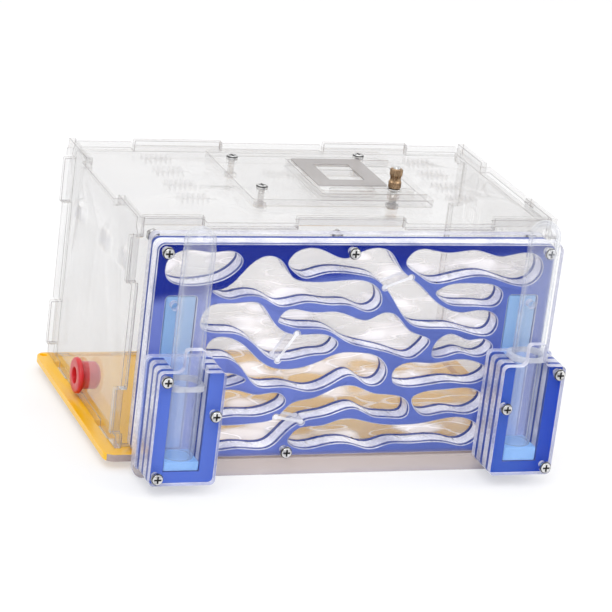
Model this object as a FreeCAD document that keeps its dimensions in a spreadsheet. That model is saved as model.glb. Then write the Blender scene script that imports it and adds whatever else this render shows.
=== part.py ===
"""Ant habitat: a clear finger-jointed foraging box on a yellow base, with a sandwich nest in front.

Lengths are millimetres.  Every piece is drawn in the box frame: X = 0 at the left wall's outer face,
Y = 0 at the front wall's outer face, Z = 0 on top of the base sheet.  `set_down` then moves it so that
the origin lies on the table, under the middle of the whole footprint.
"""
import FreeCAD, Part
import math
import os

import Sketcher
from FreeCAD import Placement, Rotation, Vector

doc = FreeCAD.newDocument("ant_habitat")

# ---------------------------------------------------------------- driving dimensions
SIZES = (
    ("box_width", 183.0, "over the side walls"),
    ("box_depth", 104.0, "over the front and back walls"),
    ("box_height", 97.0, "from the base sheet to the top of the roof"),
    ("wall_sheet", 3.0, "clear sheet of the box and lid"),
    ("finger_overhang", 1.8, "how far a finger stands out of the sheet that it passes"),
    ("front_finger", 25.5, "length of the outer fingers at the roof's front and back edges"),
    ("middle_finger", 47.0, "length of the middle finger there"),
    ("side_finger", 27.5, "length of the side walls' fingers at the roof"),
    ("corner_tab_low", 5.5, "height of the lower corner tab"),
    ("corner_tab_drop", 26.5, "lower end of the upper corner tab below the box's top"),
    ("corner_tab", 20.0, "length of a corner tab"),
    ("base_tab", 20.0, "length of a tab that stands in the base"),
    ("base_tab_inset", 9.0, "from the box's corner to the tab in the base"),
    ("tab_play", 0.1, "clearance round a tab in its slot"),
    ("base_sheet", 3.0, "yellow base"),
    ("base_side_margin", 5.5, "base beyond the side walls"),
    ("base_front_margin", 8.2, "base beyond the front wall"),
    ("base_back_margin", 2.0, "base beyond the back wall"),
    ("base_corner", 4.4, "corner radius of the base"),
    ("base_hole_radius", 1.6, "hanging hole near each back corner"),
    ("base_hole_inset", 3.0, "from the base's edges to that hole"),
    ("foot_radius", 5.0, "rubber foot"),
    ("foot_height", 3.5, "rubber foot"),
    ("foot_inset", 14.0, "from the box's corner to the foot's axis"),
    ("slit_width", 1.1, "air slit"),
    ("slit_length", 7.3, "air slit"),
    ("slit_pitch", 2.2, "from slit to slit"),
    ("left_slits_x", 27.5, "from the box's left side to the roof's left rows of slits"),
    ("left_slits_y", 29.0, "first of the left rows"),
    ("left_slits_pitch", 17.6, "from row to row on the left"),
    ("middle_slits_x", 76.0, "row of slits under the lid"),
    ("middle_slits_y", 62.0, "row of slits under the lid"),
    ("right_slits_x", 35.7, "from the box's right side to the roof's right rows"),
    ("right_slits_y", 30.0, "first of the right rows"),
    ("right_slits_pitch", 16.8, "from row to row on the right"),
    ("nest_side_inset", 5.6, "from the box's side to the blue sheets"),
    ("nest_low", 0.5, "lower edge of the blue sheets"),
    ("nest_top_gap", 4.8, "upper edge of the blue sheets below the box's top"),
    ("nest_corner", 3.0, "corner radius of the nest's sheets"),
    ("backing_sheet", 4.0, "clear sheet at the back of the nest"),
    ("blue_sheet", 2.0, "blue sheet of nest and towers"),
    ("gallery_sheet", 6.0, "clear sheet that the galleries are cut in"),
    ("cover_sheet", 3.0, "clear front cover of the nest and of a tower"),
    ("cover_side_inset", 3.4, "from the box's side to the nest's cover"),
    ("cover_rise", 2.3, "nest's cover above the blue sheets"),
    ("cover_corner", 5.0, "corner radius of the nest's cover"),
    ("passage_radius", 4.0, "way from the box into the nest"),
    ("back_plate_rise", 1.0, "nest's back plate above the blue sheets"),
    ("passage_x", 36.0, "from the left wall"),
    ("passage_z", 8.7, "above the base"),
    ("pad_inset", 10.8, "from the box's side to a moisture chamber"),
    ("pad_width", 13.1, "moisture chamber"),
    ("pad_low", 4.5, "foot of a moisture chamber"),
    ("pad_top_gap", 21.9, "head of a moisture chamber below the blue sheets' upper edge"),
    ("pad_corner", 1.5, "corner radius of a moisture chamber and its pad"),
    ("pad_play", 0.2, "clearance round the pad in its chamber"),
    ("pad_hole_radius", 1.6, "wetting hole in the cover"),
    ("pad_hole_inset", 3.4, "from the chamber's head and outer side to that hole"),
    ("gate_thickness", 1.2, "gate strip"),
    ("gate_knob_radius", 1.1, "round end of a gate"),
    ("gate_play", 0.2, "clearance round a gate's end and along its faces"),
    ("tower_inset", 4.2, "from the box's side to a water tower"),
    ("tower_width", 27.6, "water tower"),
    ("left_tower_low", -1.5, "lower edge of the left tower"),
    ("right_tower_low", -0.7, "lower edge of the right tower"),
    ("tower_height", 48.2, "tower from its lower to its upper edge"),
    ("tower_corner", 2.2, "corner radius of a tower"),
    ("tower_back_lip", 1.0, "tower's back sheet beyond the others, at its outer side"),
    ("tower_back_rise", 0.5, "tower's back sheet above the others"),
    ("tower_spacer", 4.0, "clear sheet between a tower's blue sheets"),
    ("cover_tab_width", 8.0, "tongue that stands up from a tower's cover in front of the tube"),
    ("cover_tab_rise", 9.6, "tongue above the tower"),
    ("cover_tab_foot", 2.5, "radius at the foot of the tongue"),
    ("cover_tab_corner", 1.5, "corner radius of the tongue"),
    ("well_width", 15.0, "well for the test tube"),
    ("well_floor", 5.0, "floor of the well above the tower's lower edge"),
    ("tube_radius", 6.5, "test tube"),
    ("tube_wall", 1.1, "test tube"),
    ("tube_length", 96.5, "test tube"),
    ("left_sponge", 4.0, "height of the sponge under the left tube"),
    ("right_sponge", 6.2, "height of the sponge under the right tube"),
    ("sponge_play", 0.2, "clearance round a sponge"),
    ("seated_collar_width", 17.0, "right tube's collar, which sits on the tower, along X"),
    ("seated_collar_depth", 13.6, "right tube's collar between the nest's cover and the tongue"),
    ("seated_collar_corner", 6.0, "corner radius of the right tube's collar"),
    ("collar_height", 2.5, "collar on a tube"),
    ("collar_edge", 0.4, "rounding of a collar's rims"),
    ("collar_play", 0.05, "clearance of a collar on its tube and above its seat"),
    ("squeezed_collar_play", 0.2, "clearance of the left collar in its well"),
    ("squeezed_collar_low", 38.5, "left collar above the tower's lower edge"),
    ("squeezed_collar_corner", 3.0, "corner radius of the left collar"),
    ("nest_screw_inset", 3.1, "from the blue sheets' left and lower edges to a screw"),
    ("nest_right_screw_inset", 4.0, "from the blue sheets' right edge to a screw"),
    ("nest_top_screw_inset", 2.6, "from the blue sheets' upper edge to a screw"),
    ("nest_top_screw_x", 4.5, "middle upper screw left of the box's middle"),
    ("nest_low_screw_x", 23.4, "lower screw left of the box's middle"),
    ("screw_radius", 1.25, "shank of every small screw"),
    ("screw_hole_play", 0.1, "clearance of a screw in a sheet"),
    ("thread_play", 0.05, "clearance of a screw in its thread"),
    ("head_radius", 2.5, "pan head"),
    ("head_height", 1.8, "pan head"),
    ("recess_width", 0.75, "arm of the cross recess"),
    ("recess_length", 3.0, "cross recess from end to end"),
    ("recess_depth", 1.1, "cross recess"),
    ("nut_flats", 5.0, "hexagon nut across its flats"),
    ("nut_height", 2.0, "hexagon nut"),
    ("tower_screw_inset", 3.0, "from a tower's side to a screw"),
    ("tower_screw_rise", 3.5, "from a tower's end to a screw"),
    ("tower_middle_screw", 29.9, "middle screw above the tower's lower edge"),
    ("lid_left", 54.8, "left edge of the lid frame"),
    ("lid_right", 135.0, "right edge of the lid frame"),
    ("lid_front", 19.0, "front edge of the lid frame"),
    ("lid_back", 86.0, "back edge of the lid frame"),
    ("lid_corner", 2.0, "corner radius of the lid frame"),
    ("bay_left", 87.5, "left edge of the door's bay"),
    ("bay_front", 27.0, "front edge of the door's bay"),
    ("bay_back", 74.0, "back edge of the door's bay"),
    ("door_play", 0.3, "clearance round the door in its bay"),
    ("slot_left", 93.0, "left end of the door's slot"),
    ("slot_right", 131.0, "right end of the door's slot"),
    ("slot_width", 4.4, "door's slot"),
    ("thumb_x", 121.8, "axis of the thumb screw"),
    ("thumb_y", 33.0, "axis of the thumb screw"),
    ("thumb_shank_radius", 1.5, "thumb screw"),
    ("thumb_hole_play", 0.2, "clearance of the thumb screw in the roof"),
    ("thumb_shank_rise", 10.2, "thumb screw above the door"),
    ("washer_radius", 3.2, "thumb nut's washer"),
    ("washer_height", 0.8, "thumb nut's washer"),
    ("washer_play", 0.05, "gap under and over the washer"),
    ("thumb_nut_radius", 2.7, "brass nut at its ends"),
    ("thumb_waist_radius", 2.2, "brass nut at its waist"),
    ("thumb_nut_height", 8.6, "brass nut"),
    ("window_left", 89.5, "grey window frame on the door"),
    ("window_front", 37.0, "grey window frame"),
    ("window_width", 31.0, "grey window frame"),
    ("window_depth", 36.4, "grey window frame"),
    ("window_band", 7.5, "width of the frame's band"),
    ("window_sheet", 0.6, "thickness of the frame"),
    ("hatch_left", 93.0, "opening in the roof under the door"),
    ("hatch_front", 41.0, "opening in the roof"),
    ("hatch_width", 24.0, "opening in the roof"),
    ("hatch_depth", 28.0, "opening in the roof"),
    ("hatch_corner", 2.0, "corner radius of the opening in the roof"),
    ("plug_y", 55.0, "axis of the red plug"),
    ("plug_z", 9.5, "axis of the red plug"),
    ("plug_radius", 5.92, "stem of the plug"),
    ("plug_play", 0.08, "clearance of the plug in the wall"),
    ("plug_flange_radius", 7.7, "outer flange of the plug"),
    ("plug_flange", 2.5, "thickness of the plug's flange"),
    ("plug_reach", 8.0, "plug inside the wall's outer face"),
    ("plug_bore_radius", 3.5, "hollow in the plug's face"),
    ("plug_bore_depth", 6.0, "hollow in the plug's face"),
)

sheet = doc.addObject("Spreadsheet::Sheet", "sizes")
for row, (alias, value, note) in enumerate(SIZES, start=1):
    sheet.set("A%d" % row, alias)
    sheet.set("B%d" % row, str(value))
    sheet.set("C%d" % row, note)
    sheet.setAlias("B%d" % row, alias)
doc.recompute()


def size(alias):
    """Return the number in the cell with this alias."""
    return float(sheet.get(alias))


WIDTH = size("box_width")
DEPTH = size("box_depth")
HEIGHT = size("box_height")
WALL = size("wall_sheet")
OVERHANG = size("finger_overhang")
ROOF_LOW = HEIGHT - WALL
NEST_LOW = size("nest_low")
NEST_HIGH = HEIGHT - size("nest_top_gap")
PAD_HIGH = NEST_HIGH - size("pad_top_gap")
TABLE = -size("base_sheet") - size("foot_height")

# Faces of the nest and tower stack, from the front wall forward (towards -Y).
REAR_BLUE_Y = -size("backing_sheet")
GALLERY_Y = REAR_BLUE_Y - size("blue_sheet")
FRONT_BLUE_Y = GALLERY_Y - size("gallery_sheet")
NEST_COVER_Y = FRONT_BLUE_Y - size("blue_sheet")
TOWER_BACK_Y = NEST_COVER_Y - size("cover_sheet")
WELL_BACK_Y = TOWER_BACK_Y - size("cover_sheet")
TOWER_LAYERS = (
    ("inner_blue", "blue_sheet"),
    ("inner_spacer", "tower_spacer"),
    ("middle_blue", "blue_sheet"),
    ("outer_spacer", "tower_spacer"),
    ("face_blue", "blue_sheet"),
)
WINDOW_CORNER = 1.0
WELL_DEPTH = sum(size(alias) for name, alias in TOWER_LAYERS)
TOWER_COVER_Y = WELL_BACK_Y - WELL_DEPTH
TOWER_FACE_Y = TOWER_COVER_Y - size("cover_sheet")
WELL_Y = WELL_BACK_Y - WELL_DEPTH / 2

FRONT_REACH = size("head_height") - TOWER_FACE_Y
MIDDLE_Y = (DEPTH + size("base_back_margin") - FRONT_REACH) / 2
SET_DOWN = Vector(-WIDTH / 2, -MIDDLE_Y, -TABLE)

SLITS_IN_ROW = 6
ROWS_OF_SLITS = 4

nodes = []


# ---------------------------------------------------------------- helpers
def finish(node, x=0.0, y=0.0, z=0.0):
    """Register a finished sub-part and set it down from the box frame on the table's frame."""
    node.Placement = Placement(SET_DOWN + Vector(x, y, z), Rotation())
    node.Label = node.Name
    nodes.append(node)
    return node


def new_sketch(body, plane, name):
    """Start a sketch on one of the body's own origin planes."""
    sketch = body.newObject("Sketcher::SketchObject", name)
    support = [item for item in body.Origin.OriginFeatures if item.Role == plane][0]
    sketch.AttachmentSupport = [(support, "")]
    sketch.MapMode = "FlatFace"
    return sketch


def rectangle(left, low, right, high):
    """Return a rectangle's corners, anticlockwise."""
    return [(left, low), (right, low), (right, high), (left, high)]


def add_loop(sketch, corners, radius=0.0):
    """Draw a closed loop of lines, with its corners rounded where a radius is given.

    `radius` is one number for all corners or a list with one for each.
    """
    count = len(corners)
    radii = radius if isinstance(radius, (list, tuple)) else [radius] * count
    points = [Vector(u, v, 0) for u, v in corners]
    arrivals, departures, bends = [], [], []
    for index, corner in enumerate(points):
        back = (points[index - 1] - corner).normalize()
        ahead = (points[(index + 1) % count] - corner).normalize()
        reach = radii[index] / math.tan(back.getAngle(ahead) / 2) if radii[index] else 0.0
        arrivals.append(corner + back * reach)
        departures.append(corner + ahead * reach)
        if reach:
            bisector = (back + ahead).normalize()
            centre_distance = radii[index] / math.sin(back.getAngle(ahead) / 2)
            bends.append(corner + bisector * (centre_distance - radii[index]))
        else:
            bends.append(None)
    for index in range(count):
        if bends[index]:
            sketch.addGeometry(Part.Arc(arrivals[index], bends[index], departures[index]), False)
        following = (index + 1) % count
        if (arrivals[following] - departures[index]).Length > 1e-6:
            sketch.addGeometry(Part.LineSegment(departures[index], arrivals[following]), False)


def add_circle(sketch, u, v, *aliases):
    """Draw a circle whose radius is bound to the sum of the named sizes."""
    radius = sum(size(alias) for alias in aliases)
    geometry = sketch.addGeometry(Part.Circle(Vector(u, v, 0), Vector(0, 0, 1), radius), False)
    constraint = sketch.addConstraint(Sketcher.Constraint("Radius", geometry, radius))
    expression = " + ".join("sizes.%s" % alias for alias in aliases)
    sketch.setExpression("Constraints[%d]" % constraint, expression)


def add_curve(sketch, points):
    """Draw a smooth closed curve through the points."""
    curve = Part.BSplineCurve()
    curve.interpolate(Points=[Vector(u, v, 0) for u, v in points], PeriodicFlag=True)
    sketch.addGeometry(curve, False)


def add_slits(sketch, u, v):
    """Draw a row of upright air slits from the first slit's corner at u, v."""
    for index in range(SLITS_IN_ROW):
        left = u + index * size("slit_pitch")
        add_loop(sketch, rectangle(left, v, left + size("slit_width"), v + size("slit_length")))


def pad_sketch(body, sketch, alias):
    """Extrude a sketch by the sheet thickness in the named cell."""
    pad = body.newObject("PartDesign::Pad", body.Name + "_pad")
    pad.Profile = sketch
    pad.setExpression("Length", "sizes.%s" % alias)
    sketch.Visibility = False
    return pad


def cut_sheet(name, plane, alias, outline, radius, holes):
    """Make one laser-cut sheet.

    `outline` is its corners, `holes` a function that draws the holes in the same sketch, and
    `alias` the cell with its thickness.
    """
    body = doc.addObject("PartDesign::Body", name)
    sketch = new_sketch(body, plane, name + "_outline")
    add_loop(sketch, outline, radius)
    holes(sketch)
    pad_sketch(body, sketch, alias)
    return body


def no_holes(sketch):
    """Leave a sheet whole."""


def solid_node(name, shapes, x=0.0, y=0.0, z=0.0):
    """Make a sub-part from finished shapes, which keep the turn that they have."""
    feature = doc.addObject("Part::Feature", name)
    feature.Shape = Part.makeCompound(shapes)
    return finish(feature, x, y, z)


def turned(profile, axis):
    """Revolve a closed outline of (radius, height) points about an axis through the origin."""
    points = [Vector(radius, 0, height) for radius, height in profile]
    face = Part.Face(Part.makePolygon(points + points[:1]))
    shape = face.revolve(Vector(0, 0, 0), Vector(0, 0, 1), 360)
    shape.Placement = Placement(Vector(), Rotation(Vector(0, 0, 1), axis))
    return shape


def moved(shape, x, y, z):
    """Return a copy of the shape at this place."""
    copy = shape.copy()
    copy.translate(Vector(x, y, z))
    return copy


# ---------------------------------------------------------------- fasteners
def pan_screw(length, facing):
    """Return a pan-head screw: the head's underside is at the origin and its top faces `facing`."""
    head = Part.makeCylinder(size("head_radius"), size("head_height"))
    rim = [edge for edge in head.Edges if edge.BoundBox.ZMin > size("head_height") - 1e-6]
    head = head.makeFillet(0.6 * size("head_height"), rim)
    shank = Part.makeCylinder(size("screw_radius"), length, Vector(0, 0, -length))
    screw = head.fuse(shank)
    long_side, short_side = size("recess_length"), size("recess_width")
    floor = size("head_height") - size("recess_depth")
    for across, along in ((long_side, short_side), (short_side, long_side)):
        arm = Part.makeBox(across, along, size("head_height"), Vector(-across / 2, -along / 2, floor))
        screw = screw.cut(arm)
    screw = screw.removeSplitter()
    screw.Placement = Placement(Vector(), Rotation(Vector(0, 0, 1), facing))
    return screw


def hexagon_nut(bore_radius, facing):
    """Return a hexagon nut whose lower face is at the origin."""
    corner = size("nut_flats") / math.sqrt(3)
    angles = [math.radians(60 * side + 30) for side in range(6)]
    ring = [Vector(corner * math.cos(angle), corner * math.sin(angle), 0) for angle in angles]
    nut = Part.Face(Part.makePolygon(ring + ring[:1])).extrude(Vector(0, 0, size("nut_height")))
    nut = nut.cut(Part.makeCylinder(bore_radius, size("nut_height")))
    nut.Placement = Placement(Vector(), Rotation(Vector(0, 0, 1), facing))
    return nut


FORWARD = Vector(0, -1, 0)
BACKWARD = Vector(0, 1, 0)
UP = Vector(0, 0, 1)
DOWN = Vector(0, 0, -1)
THREAD_RADIUS = size("screw_radius") + size("thread_play")

NEST_TOP_SCREW_Z = NEST_HIGH - size("nest_top_screw_inset")
NEST_SCREWS = (
    (size("nest_side_inset") + size("nest_screw_inset"), NEST_TOP_SCREW_Z),
    (WIDTH / 2 - size("nest_top_screw_x"), NEST_TOP_SCREW_Z),
    (WIDTH - size("nest_side_inset") - size("nest_right_screw_inset"), NEST_TOP_SCREW_Z),
    (WIDTH / 2 - size("nest_low_screw_x"), NEST_LOW + size("nest_screw_inset")),
)
LID_SCREWS = (
    (size("lid_left") + 8.2, size("lid_front") + 14.0),
    (size("lid_left") + 8.2, size("lid_back") - 13.0),
    (size("lid_right") - 13.2, size("lid_back") - 9.2),
)


# ---------------------------------------------------------------- the box
def finger_spans():
    """Return the four places along X where fingers of the roof's front and back edges change over."""
    middle = WIDTH / 2
    first = WALL + size("front_finger")
    second = middle - size("middle_finger") / 2
    return [first, second, WIDTH - second, WIDTH - first]


def corner_tab_spans():
    """Return the two height spans where front and back walls pass through the side walls."""
    low, high, length = size("corner_tab_low"), HEIGHT - size("corner_tab_drop"), size("corner_tab")
    return [(low, low + length), (high, high + length)]


def base_tab_spans(length):
    """Return the two spans along a wall of this length where its tabs stand in the base."""
    inset, tab = size("base_tab_inset"), size("base_tab")
    return [(inset, inset + tab), (length - inset - tab, length - inset)]


def cross_wall_outline(raised):
    """Return the outline in X, Z of the front or back wall.

    `raised` are the X spans where its top fingers pass up through the roof.
    """
    play = size("tab_play")
    points = []
    for start, end in base_tab_spans(WIDTH):
        points += [(start, 0), (start, -size("base_sheet")), (end, -size("base_sheet")), (end, 0)]
    points = [(WALL, 0)] + points + [(WIDTH - WALL, 0)]
    tip, root = WIDTH + OVERHANG, WIDTH - WALL
    for low, high in corner_tab_spans():
        points += [(root, low + play), (tip, low + play), (tip, high - play), (root, high - play)]
    top = []
    for start, end in raised:
        top += [(start, ROOF_LOW), (start, HEIGHT + OVERHANG)]
        top += [(end, HEIGHT + OVERHANG), (end, ROOF_LOW)]
    if raised[0][0] > WALL:
        top = [(WALL, ROOF_LOW)] + top + [(WIDTH - WALL, ROOF_LOW)]
    else:
        top = top[1:-1]
    points += reversed(top)
    for low, high in reversed(corner_tab_spans()):
        points += [(WALL, high - play), (-OVERHANG, high - play)]
        points += [(-OVERHANG, low + play), (WALL, low + play)]
    return points


def side_wall_outline():
    """Return the outline in Y, Z of a side wall."""
    reach = OVERHANG
    points = [(-reach, 0)]
    for start, end in base_tab_spans(DEPTH):
        points += [(start, 0), (start, -size("base_sheet")), (end, -size("base_sheet")), (end, 0)]
    points += [(DEPTH + reach, 0)]
    (low_a, high_a), (low_b, high_b) = corner_tab_spans()
    back = DEPTH + reach
    points += [(back, low_a), (DEPTH - WALL, low_a), (DEPTH - WALL, high_a), (back, high_a)]
    points += [(back, low_b), (DEPTH - WALL, low_b), (DEPTH - WALL, high_b), (back, high_b)]
    finger, top = size("side_finger"), HEIGHT + OVERHANG
    points += [(back, ROOF_LOW), (DEPTH, ROOF_LOW), (DEPTH, top), (DEPTH - finger, top)]
    points += [(DEPTH - finger, ROOF_LOW), (finger, ROOF_LOW), (finger, top)]
    points += [(0, top), (0, ROOF_LOW), (-reach, ROOF_LOW)]
    points += [(-reach, high_b), (WALL, high_b), (WALL, low_b), (-reach, low_b)]
    points += [(-reach, high_a), (WALL, high_a), (WALL, low_a), (-reach, low_a)]
    return points


def roof_outline():
    """Return the outline in X, Y of the roof, drawn in from each finger by the tab play."""
    play = size("tab_play")
    first, second, third, fourth = finger_spans()
    finger, inner = size("side_finger") + play, WALL + play
    right, back = WIDTH - inner, DEPTH - inner
    points = [(inner, inner), (first + play, inner), (first + play, -OVERHANG), (second - play, -OVERHANG)]
    points += [(second - play, inner), (third + play, inner), (third + play, -OVERHANG)]
    points += [(fourth - play, -OVERHANG), (fourth - play, inner), (right, inner)]
    points += [(right, finger), (WIDTH + OVERHANG, finger), (WIDTH + OVERHANG, DEPTH - finger)]
    points += [(right, DEPTH - finger), (right, DEPTH + OVERHANG), (fourth + play, DEPTH + OVERHANG)]
    points += [(fourth + play, back), (third - play, back), (third - play, DEPTH + OVERHANG)]
    points += [(second + play, DEPTH + OVERHANG), (second + play, back), (first - play, back)]
    points += [(first - play, DEPTH + OVERHANG), (inner, DEPTH + OVERHANG), (inner, DEPTH - finger)]
    points += [(-OVERHANG, DEPTH - finger), (-OVERHANG, finger), (inner, finger)]
    return points


# The first corner of each row of air slits in a side wall: Y, and how far it lies below the box's top.
SIDE_SLITS = ((9.0, 25.0), (38.0, 27.0), (76.0, 28.0))


def make_base():
    """Make the yellow base with its slots and hanging holes, and its rubber feet."""
    side, front, back = size("base_side_margin"), size("base_front_margin"), size("base_back_margin")
    play = size("tab_play")

    def holes(sketch):
        """Draw the slots for the walls' tabs and the two hanging holes."""
        for start, end in base_tab_spans(WIDTH):
            for low in (0, DEPTH - WALL):
                add_loop(sketch, rectangle(start - play, low - play, end + play, low + WALL + play))
        for start, end in base_tab_spans(DEPTH):
            for left in (0, WIDTH - WALL):
                add_loop(sketch, rectangle(left - play, start - play, left + WALL + play, end + play))
        inset = size("base_hole_inset")
        for x in (inset - side, WIDTH + side - inset):
            add_circle(sketch, x, DEPTH + back - inset, "base_hole_radius")

    outline = rectangle(-side, -front, WIDTH + side, DEPTH + back)
    base = cut_sheet("base_plate", "XY_Plane", "base_sheet", outline, size("base_corner"), holes)
    finish(base, z=-size("base_sheet"))
    inset = size("foot_inset")
    places = [(x, y) for x in (inset, WIDTH - inset) for y in (inset, DEPTH - inset)]
    foot = Part.makeCone(size("foot_radius") - 1, size("foot_radius"), size("foot_height"))
    solid_node("base_feet", [moved(foot, x, y, TABLE) for x, y in places])


def make_walls():
    """Make the four walls."""
    first, second, third, fourth = finger_spans()

    def front_holes(sketch):
        """Draw the nest's screw holes and the ants' passage."""
        for x, z in NEST_SCREWS:
            add_circle(sketch, x, z, "screw_radius", "screw_hole_play")
        add_circle(sketch, size("passage_x"), size("passage_z"), "passage_radius")

    def side_slits(sketch):
        """Draw the air slits of a side wall."""
        for y, drop in SIDE_SLITS:
            add_slits(sketch, y, HEIGHT - drop)

    def left_holes(sketch):
        """Draw the air slits and the plug's hole."""
        side_slits(sketch)
        add_circle(sketch, size("plug_y"), size("plug_z"), "plug_radius", "plug_play")

    front = cross_wall_outline([(WALL, first), (second, third), (fourth, WIDTH - WALL)])
    back = cross_wall_outline([(first, second), (third, fourth)])
    finish(cut_sheet("front_wall", "XZ_Plane", "wall_sheet", front, 0, front_holes), y=WALL)
    finish(cut_sheet("back_wall", "XZ_Plane", "wall_sheet", back, 0, no_holes), y=DEPTH)
    side = side_wall_outline()
    finish(cut_sheet("left_wall", "YZ_Plane", "wall_sheet", side, 0, left_holes))
    finish(cut_sheet("right_wall", "YZ_Plane", "wall_sheet", side, 0, side_slits), x=WIDTH - WALL)


def make_roof():
    """Make the roof with its air slits, the hatch and the screw holes."""
    def holes(sketch):
        """Draw the hatch, the slits and the holes."""
        left, front = size("hatch_left"), size("hatch_front")
        hatch = rectangle(left, front, left + size("hatch_width"), front + size("hatch_depth"))
        add_loop(sketch, hatch, size("hatch_corner"))
        for row in range(ROWS_OF_SLITS):
            left_y = size("left_slits_y") + row * size("left_slits_pitch")
            right_y = size("right_slits_y") + row * size("right_slits_pitch")
            add_slits(sketch, size("left_slits_x"), left_y)
            add_slits(sketch, WIDTH - size("right_slits_x"), right_y)
        add_slits(sketch, size("middle_slits_x"), size("middle_slits_y"))
        for x, y in LID_SCREWS:
            add_circle(sketch, x, y, "screw_radius", "screw_hole_play")
        add_circle(sketch, size("thumb_x"), size("thumb_y"), "thumb_shank_radius", "thumb_hole_play")

    finish(cut_sheet("roof_panel", "XY_Plane", "wall_sheet", roof_outline(), 0, holes), z=ROOF_LOW)


# ---------------------------------------------------------------- the lid
def make_lid():
    """Make the fixed lid frame, the sliding door with its grey frame, and their screws and nuts."""
    left, right, front, back = (size("lid_" + edge) for edge in ("left", "right", "front", "back"))
    bay_left, bay_front, bay_back = (size("bay_" + edge) for edge in ("left", "front", "back"))
    round_corner = size("lid_corner")

    def frame_holes(sketch):
        """Draw the three screw holes."""
        for x, y in LID_SCREWS:
            add_circle(sketch, x, y, "screw_radius", "screw_hole_play")

    def door_holes(sketch):
        """Draw the slot for the thumb screw."""
        half = size("slot_width") / 2
        y = size("thumb_y")
        slot = rectangle(size("slot_left"), y - half, size("slot_right"), y + half)
        add_loop(sketch, slot, half - 0.01)

    def window_hole(sketch):
        """Draw the window in the grey frame."""
        band = size("window_band")
        inner = rectangle(band, band, size("window_width") - band, size("window_depth") - band)
        add_loop(sketch, inner, WINDOW_CORNER)

    outline = [(left, front), (right, front), (right, bay_front), (bay_left, bay_front)]
    outline += [(bay_left, bay_back), (right, bay_back), (right, back), (left, back)]
    radii = [round_corner, round_corner, 0, 0, 0, 0, round_corner, round_corner]
    finish(cut_sheet("lid_frame", "XY_Plane", "wall_sheet", outline, radii, frame_holes), z=HEIGHT)

    play = size("door_play")
    door = rectangle(bay_left + play, bay_front + play, right, bay_back - play)
    finish(cut_sheet("lid_door", "XY_Plane", "wall_sheet", door, 1.0, door_holes), z=HEIGHT)
    window = rectangle(0, 0, size("window_width"), size("window_depth"))
    frame = cut_sheet("door_window_frame", "XY_Plane", "window_sheet", window, 1.0, window_hole)
    finish(frame, size("window_left"), size("window_front"), HEIGHT + WALL)

    screw = pan_screw(2 * WALL + size("nut_height"), UP)
    nut = hexagon_nut(THREAD_RADIUS, DOWN)
    screws = [moved(screw, x, y, HEIGHT + WALL) for x, y in LID_SCREWS]
    nuts = [moved(nut, x, y, ROOF_LOW) for x, y in LID_SCREWS]
    solid_node("lid_screws", screws)
    solid_node("lid_nuts", nuts)


def make_thumb_nut():
    """Make the screw that stands up through the door's slot, its washer and the brass nut."""
    x, y, door_top = size("thumb_x"), size("thumb_y"), HEIGHT + WALL
    shank_radius, play = size("thumb_shank_radius"), size("washer_play")
    rise = door_top - ROOF_LOW + size("thumb_shank_rise")
    nut_height = size("nut_height")
    shank = Part.makeCylinder(shank_radius, rise + nut_height, Vector(0, 0, -nut_height))
    screw = hexagon_nut(shank_radius, DOWN).fuse(shank).removeSplitter()
    solid_node("thumb_screw", [screw], x, y, ROOF_LOW)

    outer = doc.addObject("Part::Cylinder", "washer_disc")
    outer.setExpression("Radius", "sizes.washer_radius")
    outer.setExpression("Height", "sizes.washer_height")
    inner = doc.addObject("Part::Cylinder", "washer_bore")
    inner.setExpression("Radius", "sizes.thumb_shank_radius + sizes.thread_play")
    inner.setExpression("Height", "sizes.washer_height")
    washer = doc.addObject("Part::Cut", "thumb_washer")
    washer.Base = outer
    washer.Tool = inner
    finish(washer, x, y, door_top + play)

    end, waist, tall = size("thumb_nut_radius"), size("thumb_waist_radius"), size("thumb_nut_height")
    bore = shank_radius + size("thread_play")
    profile = [(bore, 0), (end - 0.3, 0), (end, 0.3), (end, 0.24 * tall), (waist, 0.40 * tall)]
    profile += [(waist, 0.54 * tall), (end, 0.70 * tall), (end, tall - 0.3), (end - 0.3, tall), (bore, tall)]
    solid_node("thumb_nut", [turned(profile, UP)], x, y, door_top + size("washer_height") + 2 * play)


# ---------------------------------------------------------------- the nest
# The galleries and gates are drawn on a field whose middle, span between the moisture chambers and
# height are these; `in_nest` fits them to the nest as it is.
PATTERN_MIDDLE = 91.5
PATTERN_SPAN = 135.2
PATTERN_HIGH = 92.2
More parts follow.
